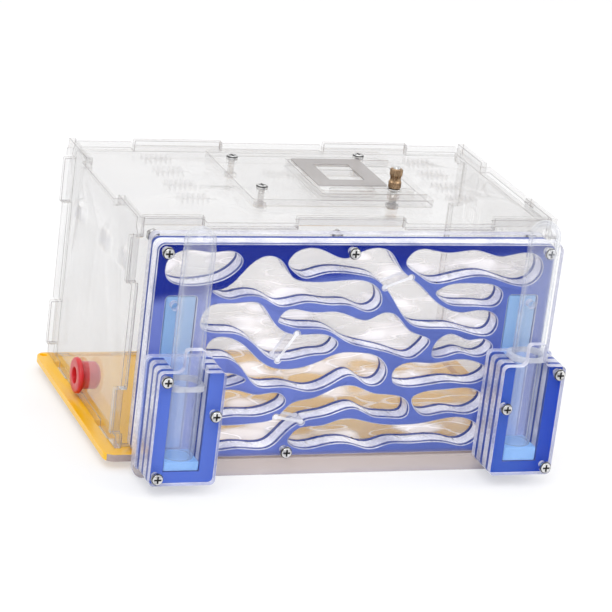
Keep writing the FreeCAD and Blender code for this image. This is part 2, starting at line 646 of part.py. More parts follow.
# Each gallery is a smooth closed opening through these points, in X and Z, clockwise or anticlockwise.
GALLERIES = (
    [(9.5, 82), (11.5, 87), (18, 89.5), (28.5, 88.5), (38, 88.5), (41, 85.5), (38, 80), (27, 75.5),
     (18, 75), (11, 77.5)],
    [(30.5, 72.5), (38, 75.5), (45, 83.5), (51.5, 87), (58, 84.5), (63, 78), (70, 76), (84, 76.5),
     (97, 75.5), (102, 71), (102.3, 66), (98.5, 63.5), (90, 66), (81, 66.5), (70, 67.5), (59, 66),
     (52, 69.5), (42, 70), (33, 70.5)],
    [(61, 85.5), (65, 89.5), (73, 90), (85, 86), (93, 89.5), (103.5, 89), (109.5, 81.5), (118, 75),
     (126.5, 67.5), (132.5, 64), (139, 62.5), (148, 63.5), (155.5, 59.5), (154, 53.5), (148, 52.7),
     (137, 55.5), (125, 56), (118, 57.5), (111, 64.5), (105.5, 72), (99, 77.5), (91, 79.5), (75, 79.5),
     (69, 78), (63, 81)],
    [(112, 86), (115.5, 89.5), (128.5, 88.5), (142, 89.5), (152.5, 87), (163, 88.5), (170.5, 86.5),
     (172.5, 81), (168, 75), (160, 75), (148, 78.5), (135, 77.2), (124, 75.8), (116.5, 80)],
    [(126.8, 72), (131, 74.3), (144, 75.2), (151.5, 74.5), (156, 71), (155, 66.5), (147, 65.5),
     (135, 66), (128.5, 69)],
    [(26.5, 60), (30, 66), (40, 67), (50, 67), (57, 59), (64, 54), (74, 53.5), (82.5, 52.5), (86, 49.5),
     (84, 46.2), (77, 44.8), (68, 43), (58, 43.5), (50.5, 49.5), (42, 54.3), (32, 55), (27, 57)],
    [(59.5, 60), (63, 64), (73, 63), (84, 63), (92, 60.5), (98, 59.5), (104.5, 62.5), (109, 62),
     (116.5, 55), (123, 52.3), (126.3, 50.3), (124, 46), (120, 43), (111, 44.8), (98, 48), (90, 50.5),
     (81, 55.5), (69, 56.5), (61, 58.5)],
    [(128.4, 44.5), (130.7, 50.8), (135, 53), (144, 50.3), (151, 50.7), (155, 47.3), (151, 43.5),
     (141, 45), (132, 43)],
    [(30, 47.5), (32.5, 51.8), (42.5, 51), (50.5, 44.7), (57, 40), (70, 38.8), (79, 41.6), (87, 45),
     (97, 45.2), (104.5, 43.3), (109.3, 36.5), (107, 31.8), (102, 31.2), (94, 35.5), (85.5, 31.7),
     (76, 28.8), (65, 31), (54, 31.3), (46, 39.5), (38, 44), (31, 45)],
    [(32, 34.7), (36, 36.5), (44.5, 36.2), (48, 34), (44.5, 32.3), (36, 32)],
    [(31.5, 23.2), (35, 28), (45.5, 29.5), (54, 27.5), (65, 27), (66.4, 24.8), (60.5, 19.8), (54, 18.4),
     (44, 18.5), (35, 18.5)],
    [(31, 8.5), (34, 13.3), (43, 14.3), (55, 15), (63, 17), (69.8, 23.6), (78, 25.5), (90, 30.6),
     (96, 30.6), (104, 27.5), (114, 26.3), (120.6, 22.5), (120.8, 17.5), (113, 16.5), (106, 17.2),
     (97, 21), (86, 18), (76, 16), (69, 11.5), (62, 4.5), (48, 4.3), (36, 3.8)],
    [(70, 8), (74.5, 12.5), (84, 13.5), (93, 16.2), (105, 14.3), (116.5, 13), (129, 13.7), (138, 15.5),
     (150, 14.5), (155, 9.5), (150, 3.8), (141, 4.7), (132, 5.4), (122, 5), (115, 5), (107, 2.8),
     (98, 5), (86, 4.8), (73, 4.3)],
    [(112.3, 33.5), (113, 38), (116, 40), (128, 40.3), (140, 41.7), (151, 39.7), (155.5, 35.8),
     (151, 32), (139, 32), (126, 30.6), (115, 31)],
    [(123, 25.8), (127, 27.5), (138, 28.6), (150, 28.2), (155.5, 23.2), (150, 18), (139, 18.5),
     (129, 17.3), (124, 20.5)],
)
# Each gate is a strip across a gallery, from one end's X, Z to the other's.
GATES = (
    ((103.6, 73.7), (114.4, 77.9)),
    ((61.0, 42.6), (68.0, 53.9)),
    ((63.3, 17.6), (74.6, 15.2)),
)


def in_nest(x, z):
    """Return the X, Z in the nest of a point on the galleries' field."""
    span = WIDTH - 2 * (size("pad_inset") + size("pad_width"))
    return WIDTH / 2 + (x - PATTERN_MIDDLE) * span / PATTERN_SPAN, z * NEST_HIGH / PATTERN_HIGH


def nest_outline():
    """Return the outline of the blue and gallery sheets."""
    inset = size("nest_side_inset")
    return rectangle(inset, NEST_LOW, WIDTH - inset, NEST_HIGH)


def pad_spans():
    """Return the X spans of the left and right moisture chambers."""
    inset, width = size("pad_inset"), size("pad_width")
    return [(inset, inset + width), (WIDTH - inset - width, WIDTH - inset)]


def nest_screw_holes(sketch):
    """Draw the holes for the nest's four screws."""
    for x, z in NEST_SCREWS:
        add_circle(sketch, x, z, "screw_radius", "screw_hole_play")


def gallery_holes(sketch):
    """Draw the galleries and the screw holes."""
    nest_screw_holes(sketch)
    for points in GALLERIES:
        add_curve(sketch, [in_nest(x, z) for x, z in points])


def gallery_and_pad_holes(sketch):
    """Draw the galleries, the moisture chambers and the screw holes."""
    gallery_holes(sketch)
    for left, right in pad_spans():
        add_loop(sketch, rectangle(left, size("pad_low"), right, PAD_HIGH), size("pad_corner"))


def cut_gate_sockets(body):
    """Cut the round sockets that hold the gates' ends through a sheet."""
    doc.recompute()
    whole = body.Shape.Volume
    sketch = new_sketch(body, "XZ_Plane", body.Name + "_sockets")
    for gate in GATES:
        for x, z in gate:
            add_circle(sketch, *in_nest(x, z), "gate_knob_radius", "gate_play")
    pocket = body.newObject("PartDesign::Pocket", body.Name + "_socket_cut")
    pocket.Profile = sketch
    pocket.Type = "ThroughAll"
    pocket.Midplane = True
    sketch.Visibility = False
    doc.recompute()
    if body.Shape.Volume >= whole:
        raise RuntimeError("the gate sockets cut nothing in " + body.Name)


def make_nest():
    """Make the nest's five sheets, from the back plate forward."""
    def back_holes(sketch):
        """Draw the screw holes and the passage."""
        nest_screw_holes(sketch)
        add_circle(sketch, size("passage_x"), size("passage_z"), "passage_radius")

    def cover_holes(sketch):
        """Draw the screw holes, the wetting holes and the tower screws' threads."""
        nest_screw_holes(sketch)
        inset, rise = size("pad_hole_inset"), PAD_HIGH - size("pad_hole_inset")
        (left, unused), (unused, right) = pad_spans()
        for x in (left + inset, right - inset):
            add_circle(sketch, x, rise, "pad_hole_radius")
        for side in ("left", "right"):
            for x, z in tower_screw_places(side):
                add_circle(sketch, x, z, "screw_radius", "thread_play")

    inset, corner = size("nest_side_inset"), size("nest_corner")
    back = rectangle(inset, 0, WIDTH - inset, NEST_HIGH + size("back_plate_rise"))
    finish(cut_sheet("nest_back_plate", "XZ_Plane", "backing_sheet", back, corner, back_holes))
    rear = cut_sheet("nest_rear_sheet", "XZ_Plane", "blue_sheet", nest_outline(), corner, gallery_holes)
    finish(rear, y=REAR_BLUE_Y)
    for name, alias, y in (("nest_gallery_sheet", "gallery_sheet", GALLERY_Y),
                           ("nest_front_sheet", "blue_sheet", FRONT_BLUE_Y)):
        layer = cut_sheet(name, "XZ_Plane", alias, nest_outline(), corner, gallery_and_pad_holes)
        cut_gate_sockets(layer)
        finish(layer, y=y)
    inset = size("cover_side_inset")
    cover = rectangle(inset, TABLE, WIDTH - inset, NEST_HIGH + size("cover_rise"))
    glass = cut_sheet("nest_cover", "XZ_Plane", "cover_sheet", cover, size("cover_corner"), cover_holes)
    finish(glass, y=NEST_COVER_Y)


def make_nest_fittings():
    """Make the moisture pads, the gates, and the nest's screws and nuts."""
    play = size("pad_play")
    pad_depth = size("gallery_sheet") + size("blue_sheet") - 2 * play
    for side, (left, right) in zip(("left", "right"), pad_spans()):
        pad = doc.addObject("Part::Box", side + "_pad_block")
        pad.setExpression("Length", "sizes.pad_width - 2 * sizes.pad_play")
        pad.setExpression("Width", "sizes.gallery_sheet + sizes.blue_sheet - 2 * sizes.pad_play")
        high = "sizes.box_height - sizes.nest_top_gap - sizes.pad_top_gap"
        pad.setExpression("Height", high + " - sizes.pad_low - 2 * sizes.pad_play")
        rounded = doc.addObject("Part::Fillet", side + "_moisture_pad")
        rounded.Base = pad
        doc.recompute()
        upright = [number for number, edge in enumerate(pad.Shape.Edges, start=1)
                   if abs(edge.tangentAt(edge.FirstParameter).y) > 0.9]
        rounded.Edges = [(number, size("pad_corner"), size("pad_corner")) for number in upright]
        finish(rounded, left + play, GALLERY_Y - play - pad_depth, size("pad_low") + play)

    play = size("gate_play")
    depth = size("gallery_sheet") + size("blue_sheet") - 2 * play
    gates = []
    for gate in GATES:
        (x_a, z_a), (x_b, z_b) = [in_nest(x, z) for x, z in gate]
        run = Vector(x_b - x_a, 0, z_b - z_a)
        thick = size("gate_thickness")
        strip = Part.makeBox(run.Length, depth, thick, Vector(0, -depth, -thick / 2))
        strip.Placement = Placement(Vector(x_a, 0, z_a), Rotation(Vector(1, 0, 0), run))
        for x, z in ((x_a, z_a), (x_b, z_b)):
            knob = Part.makeCylinder(size("gate_knob_radius"), depth, Vector(x, 0, z), FORWARD)
            strip = strip.fuse(knob)
        gates.append(strip.removeSplitter())
    solid_node("gallery_gates", gates, y=GALLERY_Y - play)

    length = WALL + size("nut_height") - TOWER_BACK_Y
    screw, nut = pan_screw(length, FORWARD), hexagon_nut(THREAD_RADIUS, BACKWARD)
    screws = [moved(screw, x, TOWER_BACK_Y, z) for x, z in NEST_SCREWS]
    nuts = [moved(nut, x, WALL, z) for x, z in NEST_SCREWS]
    solid_node("nest_screws", screws)
    solid_node("nest_nuts", nuts)


# ---------------------------------------------------------------- the water towers
def tower_span(side):
    """Return the X span of a tower."""
    inset, width = size("tower_inset"), size("tower_width")
    return (inset, inset + width) if side == "left" else (WIDTH - inset - width, WIDTH - inset)


def tower_ends(side):
    """Return the heights of a tower's lower and upper edges."""
    low = size(side + "_tower_low")
    return low, low + size("tower_height")


def tower_screw_places(side):
    """Return the X, Z of a tower's three screws: two at its outer side and one at its inner side."""
    (left, right), (low, high) = tower_span(side), tower_ends(side)
    inset, rise = size("tower_screw_inset"), size("tower_screw_rise")
    outer, inner = (left + inset, right - inset) if side == "left" else (right - inset, left + inset)
    return [(outer, high - rise), (inner, low + size("tower_middle_screw")), (outer, low + rise)]


def make_tower(side):
    """Make one water tower: its back sheet, the five sheets with the well, its cover and its screws."""
    (left, right), (low, high), corner = tower_span(side), tower_ends(side), size("tower_corner")
    middle, half_well, floor = (left + right) / 2, size("well_width") / 2, low + size("well_floor")

    def holes(sketch):
        """Draw the screw holes."""
        for x, z in tower_screw_places(side):
            add_circle(sketch, x, z, "screw_radius", "screw_hole_play")

    lip = size("tower_back_lip")
    back_left, back_right = (left - lip, right) if side == "left" else (left, right + lip)
    back = rectangle(back_left, low, back_right, high + size("tower_back_rise"))
    finish(cut_sheet(side + "_tower_back", "XZ_Plane", "cover_sheet", back, corner, holes), y=TOWER_BACK_Y)

    forked = [(left, low), (right, low), (right, high), (middle + half_well, high)]
    forked += [(middle + half_well, floor), (middle - half_well, floor)]
    forked += [(middle - half_well, high), (left, high)]
    radii = [corner, corner, corner, 0, 0, 0, 0, corner]
    y = WELL_BACK_Y
    for name, alias in TOWER_LAYERS:
        finish(cut_sheet("%s_tower_%s" % (side, name), "XZ_Plane", alias, forked, radii, holes), y=y)
        y -= size(alias)
    half_tab, tip = size("cover_tab_width") / 2, high + size("cover_tab_rise")
    foot, tab_corner = size("cover_tab_foot"), size("cover_tab_corner")
    tongued = [(left, low), (right, low), (right, high), (middle + half_tab, high), (middle + half_tab, tip)]
    tongued += [(middle - half_tab, tip), (middle - half_tab, high), (left, high)]
    radii = [corner, corner, corner, foot, tab_corner, tab_corner, foot, corner]
    cover = cut_sheet(side + "_tower_cover", "XZ_Plane", "cover_sheet", tongued, radii, holes)
    finish(cover, y=TOWER_COVER_Y)

    length = NEST_COVER_Y - TOWER_FACE_Y - 0.2
    screw = pan_screw(length, FORWARD)
    screws = [moved(screw, x, TOWER_FACE_Y, z) for x, z in tower_screw_places(side)]
    solid_node(side + "_tower_screws", screws)


def make_tube(side):
    """Make a test tube, mouth down in its well, the sponge under it and the collar round it."""
    (left, right), (low, high) = tower_span(side), tower_ends(side)
    x, floor, play = (left + right) / 2, low + size("well_floor"), size("sponge_play")
    sponge = doc.addObject("Part::Box", side + "_well_sponge")
    sponge.setExpression("Length", "sizes.well_width - 2 * sizes.sponge_play")
    depth = " + ".join("sizes.%s" % alias for name, alias in TOWER_LAYERS)
    sponge.setExpression("Width", "%s - 2 * sizes.sponge_play" % depth)
    sponge.setExpression("Height", "sizes.%s_sponge" % side)
    finish(sponge, x - size("well_width") / 2 + play, TOWER_COVER_Y + play, floor)

    mouth = floor + size(side + "_sponge") + size("collar_play")
    outer, length = size("tube_radius"), size("tube_length")
    inner, shoulder = outer - size("tube_wall"), length - outer
    slant = math.sqrt(0.5)
    tube = doc.addObject("PartDesign::Body", side + "_test_tube")
    sketch = new_sketch(tube, "XZ_Plane", side + "_tube_profile")
    dome_out = Vector(outer * slant, shoulder + outer * slant, 0)
    dome_in = Vector(inner * slant, shoulder + inner * slant, 0)
    crown, ceiling = Vector(0, length, 0), Vector(0, shoulder + inner, 0)
    sketch.addGeometry(Part.LineSegment(Vector(inner, 0, 0), Vector(outer, 0, 0)), False)
    sketch.addGeometry(Part.LineSegment(Vector(outer, 0, 0), Vector(outer, shoulder, 0)), False)
    sketch.addGeometry(Part.Arc(Vector(outer, shoulder, 0), dome_out, crown), False)
    sketch.addGeometry(Part.LineSegment(crown, ceiling), False)
    sketch.addGeometry(Part.Arc(ceiling, dome_in, Vector(inner, shoulder, 0)), False)
    sketch.addGeometry(Part.LineSegment(Vector(inner, shoulder, 0), Vector(inner, 0, 0)), False)
    glass = tube.newObject("PartDesign::Revolution", side + "_tube_glass")
    glass.Profile = sketch
    glass.ReferenceAxis = (sketch, ["V_Axis"])
    glass.Angle = 360
    sketch.Visibility = False
    finish(tube, x, WELL_Y, mouth)

    height, bore = size("collar_height"), outer + size("collar_play")
    if side == "right":
        across, along, corner = (size("seated_collar_" + name) for name in ("width", "depth", "corner"))
        seat = high + size("collar_play")
    else:
        play, corner = size("squeezed_collar_play"), size("squeezed_collar_corner")
        across, along = size("well_width") - 2 * play, WELL_DEPTH - 2 * play
        seat = low + size("squeezed_collar_low")
    ring = Part.makeBox(across, along, height, Vector(-across / 2, -along / 2, 0))
    uprights = [edge for edge in ring.Edges if abs(edge.tangentAt(0).z) > 0.9]
    ring = ring.makeFillet(corner, uprights)
    rims = [edge for edge in ring.Edges if edge.BoundBox.ZLength < 1e-6]
    ring = ring.makeFillet(size("collar_edge"), rims).cut(Part.makeCylinder(bore, height))
    solid_node(side + "_tube_collar", [ring], x, WELL_Y, seat)


# ---------------------------------------------------------------- the plug
def make_plug():
    """Make the red plug in the left wall; it pulls out towards -X."""
    stem, flange, bore = size("plug_radius"), size("plug_flange_radius"), size("plug_bore_radius")
    lip, reach = size("plug_flange"), size("plug_reach")
    profile = [(0, lip - size("plug_bore_depth")), (bore, lip - size("plug_bore_depth")), (bore, lip)]
    profile += [(flange - 0.6, lip), (flange, lip - 0.6), (flange, 0.6), (flange - 0.6, 0.02), (stem, 0.02)]
    profile += [(stem, 1.5 - reach), (stem - 1.5, -reach), (0, -reach)]
    plug = turned(profile, Vector(-1, 0, 0))
    solid_node("red_plug", [plug], 0, size("plug_y"), size("plug_z"))


make_base()
make_walls()
make_roof()
make_lid()
make_thumb_nut()
make_nest()
make_nest_fittings()
for tower_side in ("left", "right"):
    make_tower(tower_side)
    make_tube(tower_side)
make_plug()
doc.recompute()

# ---------------------------------------------------------------- checks and export
for item in doc.Objects:
    if "Invalid" in item.State or "Error" in item.State:
        raise RuntimeError("%s did not build: %s" % (item.Name, item.State))
for node in nodes:
    shape = node.Shape
    if shape.isNull() or not shape.isValid() or not shape.Solids or shape.Volume <= 0:
        raise RuntimeError("%s has no valid solid" % node.Label)

os.makedirs("parts", exist_ok=True)
for node in nodes:
    node.Shape.exportStep(os.path.join("parts", node.Label + ".step"))
    print("%-26s %d solid(s) %10.1f mm3" % (node.Label, len(node.Shape.Solids), node.Shape.Volume))
print(len(nodes), "nodes")
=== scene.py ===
import logging
import math
from dataclasses import dataclass, field
from enum import Enum, IntEnum
from typing import Any, Callable, Iterable, Optional, Sequence, Union

import bmesh
import bpy
from mathutils import Matrix, Vector, noise


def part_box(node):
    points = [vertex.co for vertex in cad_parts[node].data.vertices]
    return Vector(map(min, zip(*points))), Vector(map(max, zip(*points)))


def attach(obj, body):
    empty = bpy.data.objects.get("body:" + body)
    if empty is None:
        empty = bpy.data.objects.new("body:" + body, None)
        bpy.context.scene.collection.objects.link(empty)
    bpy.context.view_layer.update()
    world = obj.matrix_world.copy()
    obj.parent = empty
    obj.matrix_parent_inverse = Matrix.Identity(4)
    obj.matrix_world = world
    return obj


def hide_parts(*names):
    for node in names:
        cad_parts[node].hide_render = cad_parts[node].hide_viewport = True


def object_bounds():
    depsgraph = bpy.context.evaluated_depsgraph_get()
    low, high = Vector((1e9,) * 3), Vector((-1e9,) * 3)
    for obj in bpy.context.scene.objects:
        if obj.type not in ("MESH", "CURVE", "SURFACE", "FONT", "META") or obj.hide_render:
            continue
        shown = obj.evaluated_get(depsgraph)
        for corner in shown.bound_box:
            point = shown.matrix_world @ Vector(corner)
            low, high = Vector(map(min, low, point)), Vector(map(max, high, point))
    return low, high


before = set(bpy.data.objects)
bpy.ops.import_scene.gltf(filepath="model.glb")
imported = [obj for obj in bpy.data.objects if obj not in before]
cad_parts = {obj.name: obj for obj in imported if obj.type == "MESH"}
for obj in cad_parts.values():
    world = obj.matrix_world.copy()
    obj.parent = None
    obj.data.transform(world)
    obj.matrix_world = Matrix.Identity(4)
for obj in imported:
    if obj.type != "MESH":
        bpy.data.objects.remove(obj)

CAD_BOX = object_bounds()
MM = 0.001
EASED = 0.15 * MM
FORWARD = Vector((0.0, -1.0, 0.0))
UPWARD = Vector((0.0, 0.0, 1.0))
log = logging.getLogger("ant_habitat")

Colour = tuple[float, float, float]
Value = Union[float, int, "Link"]
WHITE: Colour = (1.0, 1.0, 1.0)


# ------------------------------------------------------------------ shader maths
class Link:
    """A node's output that takes part in plain arithmetic; each operation adds a Math node."""

    def __init__(self, graph: "Graph", socket: bpy.types.NodeSocket) -> None:
        """Wrap a socket.

        Args:
            graph: The graph that the socket's node is in.
            socket: The output socket.
        """
        self.graph = graph
        self.socket = socket

    def _math(self, operation: str, first: Value, second: Value = 0.0) -> "Link":
        """Add one Math node.

        Args:
            operation: The node's operation.
            first: Its first value.
            second: Its second value.

        Returns:
            The result.
        """
        return self.graph.out("ShaderNodeMath", {"operation": operation}, {0: first, 1: second})

    def __add__(self, other: Value) -> "Link":
        """Return self + other."""
        return self._math("ADD", self, other)

    def __sub__(self, other: Value) -> "Link":
        """Return self - other."""
        return self._math("SUBTRACT", self, other)

    def __rsub__(self, other: Value) -> "Link":
        """Return other - self."""
        return self._math("SUBTRACT", other, self)

    def __mul__(self, other: Value) -> "Link":
        """Return self * other."""
        return self._math("MULTIPLY", self, other)

    def __pow__(self, other: Value) -> "Link":
        """Return self to the power of other."""
        return self._math("POWER", self, other)

    __radd__ = __add__
    __rmul__ = __mul__

    def above(self, limit: float, softness: float) -> "Link":
        """Return 0 below the limit and 1 above it.

        Args:
            limit: The middle of the step.
            softness: Its half width.

        Returns:
            The mask.
        """
        settings = {"interpolation_type": "SMOOTHSTEP"}
        values = {0: self, 1: limit - softness, 2: limit + softness}
        return self.graph.out("ShaderNodeMapRange", settings, values)


class Graph:
    """One node tree, of a material or of the world."""

    def __init__(self, tree: bpy.types.NodeTree) -> None:
        """Take over a node tree and empty it.

        Args:
            tree: The tree.
        """
        self.tree = tree
        self.tree.nodes.clear()

    def node(self, kind: str, settings: Optional[dict] = None,
             values: Optional[dict] = None) -> bpy.types.Node:
        """Make any node.

        Args:
            kind: The node's type.
            settings: Its properties.
            values: Numbers, colours or links for its inputs, by name or number.

        Returns:
            The node.
        """
        made = self.tree.nodes.new(kind)
        for key, setting in (settings or {}).items():
            setattr(made, key, setting)
        for key, value in (values or {}).items():
            if isinstance(value, Link):
                self.tree.links.new(value.socket, made.inputs[key])
            elif isinstance(value, tuple) and len(value) == 3 and made.inputs[key].type == "RGBA":
                made.inputs[key].default_value = (*value, 1.0)
            else:
                made.inputs[key].default_value = value
        return made

    def out(self, kind: str, settings: Optional[dict] = None, values: Optional[dict] = None,
            output: Union[int, str] = 0) -> Link:
        """Make a node and return one of its outputs.

        Args:
            kind: The node's type.
            settings: Its properties.
            values: Its inputs.
            output: The output's name or number.

        Returns:
            The output.
        """
        return Link(self, self.node(kind, settings, values).outputs[output])

    def place(self, squeeze: Sequence[float] = (1.0, 1.0, 1.0)) -> Link:
        """Return the point on the object in metres, squeezed along each axis.

        Args:
            squeeze: How much the pattern is squeezed along X, Y and Z.

        Returns:
            The vector.
        """
        point = self.out("ShaderNodeTexCoord", output="Object")
        return self.out("ShaderNodeMapping", {}, {"Vector": point, "Scale": squeeze})

    def across(self) -> tuple[Link, Link]:
        """Return the places along X and up Z, in metres."""
        parts = self.node("ShaderNodeSeparateXYZ", {}, {"Vector": self.place()})
        return Link(self, parts.outputs[0]), Link(self, parts.outputs[2])

    def backdrop_rays(self) -> Link:
        """Return 1 for the rays that show the backdrop: to the eye, off gloss and through glass."""
        path = self.node("ShaderNodeLightPath")
        seen, gloss, through = (Link(self, path.outputs[kind + " Ray"])
                                for kind in ("Is Camera", "Is Glossy", "Is Transmission"))
        return seen + gloss + through

    def cloud(self, scale: float, detail: float = 3.0, squeeze: Sequence[float] = (1.0, 1.0, 1.0)) -> Link:
        """Return soft noise from 0 to 1.

        Args:
            scale: Waves per metre.
            detail: Octaves.
            squeeze: How much it is squeezed along each axis.

        Returns:
            The noise.
        """
        values = {"Vector": self.place(squeeze), "Scale": scale, "Detail": detail}
        return self.out("ShaderNodeTexNoise", {}, values)

    def blend(self, share: Value, first: Union[Colour, Link], second: Union[Colour, Link]) -> Link:
        """Mix two colours.

        Args:
            share: How much of the second shows.
            first: The first colour.
            second: The second colour.

        Returns:
            The mixed colour.
        """
        first, second = ((*c, 1.0) if isinstance(c, tuple) else c for c in (first, second))
        return self.out("ShaderNodeMix", {"data_type": "RGBA"}, {0: share, 6: first, 7: second}, 2)

    def relief(self, height: Link, depth_mm: float, strength: float = 1.0) -> Link:
        """Return a normal from a height.

        Args:
            height: The height, from 0 to 1.
            depth_mm: What 1 stands for.
            strength: The Bump node's strength.

        Returns:
            The normal.
        """
        values = {"Height": height, "Distance": depth_mm * MM, "Strength": strength}
        return self.out("ShaderNodeBump", {}, values, "Normal")

    def principled(self, **values: Union[Value, Colour]) -> Link:
        """Return a Principled shader.

        Args:
            values: Its inputs, with an underscore for each space in a name.

        Returns:
            The shader.
        """
        named = {key.replace("_", " "): value for key, value in values.items()}
        return self.out("ShaderNodeBsdfPrincipled", {}, named)

    def layer(self, share: Value, under: Link, over: Link) -> Link:
        """Mix two shaders.

        Args:
            share: How much of the upper shader shows.
            under: The lower shader.
            over: The upper shader.

        Returns:
            The mixed shader.
        """
        return self.out("ShaderNodeMixShader", {}, {0: share, 1: under, 2: over})

    def turned_away(self) -> Link:
        """Return 0 where the surface is seen square on, rising to 1 at a glancing view."""
        return self.out("ShaderNodeLayerWeight", {}, {"Blend": 0.5}, "Facing")

    def see_through(self, share: Value, film: Link) -> Link:
        """Return a clear surface that carries a film.

        Args:
            share: How much of the film shows.
            film: The film's shader.

        Returns:
            The shader.
        """
        return self.layer(share, self.out("ShaderNodeBsdfTransparent"), film)

    def polished(self, under: Link, face_on: float, roughness: float, power: float = 5.0,
                 normal: Optional[Link] = None) -> Link:
        """Lay a mirror sheen over a shader, rising towards a glancing view.

        Args:
            under: The shader below.
            face_on: The sheen's share seen square on.
            roughness: How blurred it is.
            power: How late it rises.
            normal: Its ripple, if it has one.

        Returns:
            The shader.
        """
        values = {"Color": WHITE, "Roughness": roughness}
        if normal:
            values["Normal"] = normal
        mirror = self.out("ShaderNodeBsdfGlossy", {}, values)
        return self.layer(self.turned_away() ** power * 0.85 + face_on, under, mirror)

    def shine(self, strength: float) -> Link:
        """Return a white emission.

        Args:
            strength: How strong it is; 1 is plain white.

        Returns:
            The shader.
        """
        return self.out("ShaderNodeEmission", {}, {"Color": WHITE, "Strength": strength})

    def ridges(self, noise_value: Link, width: float) -> Link:
        """Return thin wandering lines where a noise crosses its middle.

        Args:
            noise_value: The noise.
            width: The lines' width, from 0 to 1.

        Returns:
            The mask.
        """
        distance = self.out("ShaderNodeMath", {"operation": "ABSOLUTE"}, {0: noise_value - 0.5})
        return 1.0 - distance.above(width, width * 0.6)


def new_material(name: str, build: Callable[[Graph], Link]) -> bpy.types.Material:
    """Make a material.

    Args:
        name: Its name.
        build: Builds its shader in an empty graph.

    Returns:
        The material.
    """
    material = bpy.data.materials.new(name)
    material.use_nodes = True
    graph = Graph(material.node_tree)
    graph.node("ShaderNodeOutputMaterial", {}, {"Surface": build(graph)})
    return material


# ------------------------------------------------------------------ finishes
@dataclass(frozen=True)
class Finish:
    """A surface's look. Each kind builds its own nodes once."""

    name: str

    def build(self, graph: Graph) -> Link:
        """Build the shader.

        Args:
            graph: The material's nodes.

        Returns:
            The shader.
        """
        raise NotImplementedError

    def material(self) -> bpy.types.Material:
        """Return the material, made at its first use."""
        name = "look_" + self.name
        return bpy.data.materials.get(name) or new_material(name, self.build)


@dataclass(frozen=True)
class ClearFace(Finish):
    """The broad face of a clear acrylic sheet: a faint veil, wiping marks, dust and a mirror sheen."""

    veil: float = 0.05
    tint: Colour = (0.30, 0.28, 0.275)
    sheen: float = 0.012
    painted_glints: float = 0.0
    foot: float = 0.0
    painted_glow: float = 0.0

    def build(self, graph: Graph) -> Link:
        """Build the shader, with painted glint streaks of emission and a painted shadow along the foot where
        they are set.
        """
        wiped = graph.cloud(14.0, 2.0, (1.0, 1.0, 2.5))
        dust = graph.cloud(1500.0, 1.0).above(0.74, 0.03)
        share = wiped * self.veil + (self.veil * 0.5) + dust * (self.veil * 0.9)
        # painted shadow: below the foot height the film thickens into a band of shade
        if self.foot:
            up = graph.across()[1]
            share = share + (1.0 - up.above(self.foot, 0.0015)) * 0.42
        # painted light: the film's emission
        film = graph.principled(Base_Color=self.tint, Roughness=0.4, Emission_Color=self.tint,
                                Emission_Strength=self.painted_glow)
        seen = graph.see_through(share, film)
        if self.painted_glints:
            # painted reflections: wavy pools and thin lines of pale emission laid over the film
            wave = graph.cloud(44.0, 1.0, (1.0, 1.0, 3.2))
            pool = wave.above(0.55, 0.09)
            line = graph.ridges(graph.cloud(52.0, 0.5, (0.8, 1.0, 4.2)), 0.016)
            milk = graph.blend(wave.above(0.62, 0.05), (0.84, 0.81, 0.79), (0.97, 0.95, 0.94))
            gloss = graph.principled(Base_Color=milk, Roughness=0.35, Emission_Color=milk,
                                     Emission_Strength=0.42)
            seen = graph.layer((pool * 0.60 + line * 0.35) * self.painted_glints, seen, gloss)
        return graph.polished(seen, self.sheen, 0.03)


@dataclass(frozen=True)
class ClearEdge(Finish):
    """The cut edge of a clear sheet: a painted emission stands in for the light that it gathers; it is
    streaked by the cut and half see-through.
    """

    cover: float = 0.5
    pale: Colour = (0.92, 0.93, 0.98)
    dark: Colour = (0.62, 0.62, 0.70)
    painted_glow: float = 0.0

    def build(self, graph: Graph) -> Link:
        """Build the shader with fine streaks and slow waves of painted light and shade along the edge."""
        waves = graph.cloud(70.0, 2.0)
        fine = graph.cloud(900.0, 2.0)
        shade = (waves * 0.85 + fine * 0.2).above(0.50, 0.26)
        colour = graph.blend(shade, self.dark, self.pale)
        # painted light: the edge's emission
        edge = graph.principled(Base_Color=colour, Roughness=fine * 0.25 + 0.12, Emission_Color=colour,
                                Emission_Strength=self.painted_glow, Normal=graph.relief(fine, 0.03, 0.4))
        share = shade * (0.3 * self.cover) + (0.7 * self.cover)
        return graph.polished(graph.see_through(share, edge), 0.03, 0.08)


@dataclass(frozen=True)
class CastSheet(Finish):
    """An opaque coloured acrylic sheet with a polished skin over fine grain."""

    deep: Colour = (0.0, 0.03, 0.4)
    light: Colour = (0.02, 0.08, 0.6)
    roughness: float = 0.12
    grain: float = 900.0
    coat: float = 0.5
    painted_glow: float = 0.0

    def build(self, graph: Graph) -> Link:
        """Build the shader with grain in colour and roughness and faint scuffs."""
        speck = graph.cloud(self.grain, 3.0)
        drift = graph.cloud(18.0, 2.0)
        scuff = graph.cloud(240.0, 4.0, (1.0, 1.0, 6.0)).above(0.68, 0.06)
        colour = graph.blend(speck * 0.6 + drift * 0.5 - 0.05, self.deep, self.light)
        rough = speck * 0.08 + scuff * 0.15 + self.roughness
        # painted light: emission in the sheet's own colour
        return graph.principled(Base_Color=colour, Roughness=rough, Coat_Weight=self.coat,
                                Coat_Roughness=0.06, Emission_Color=colour, Emission_Strength=self.painted_glow,
                                Normal=graph.relief(speck, 0.01, 0.35))


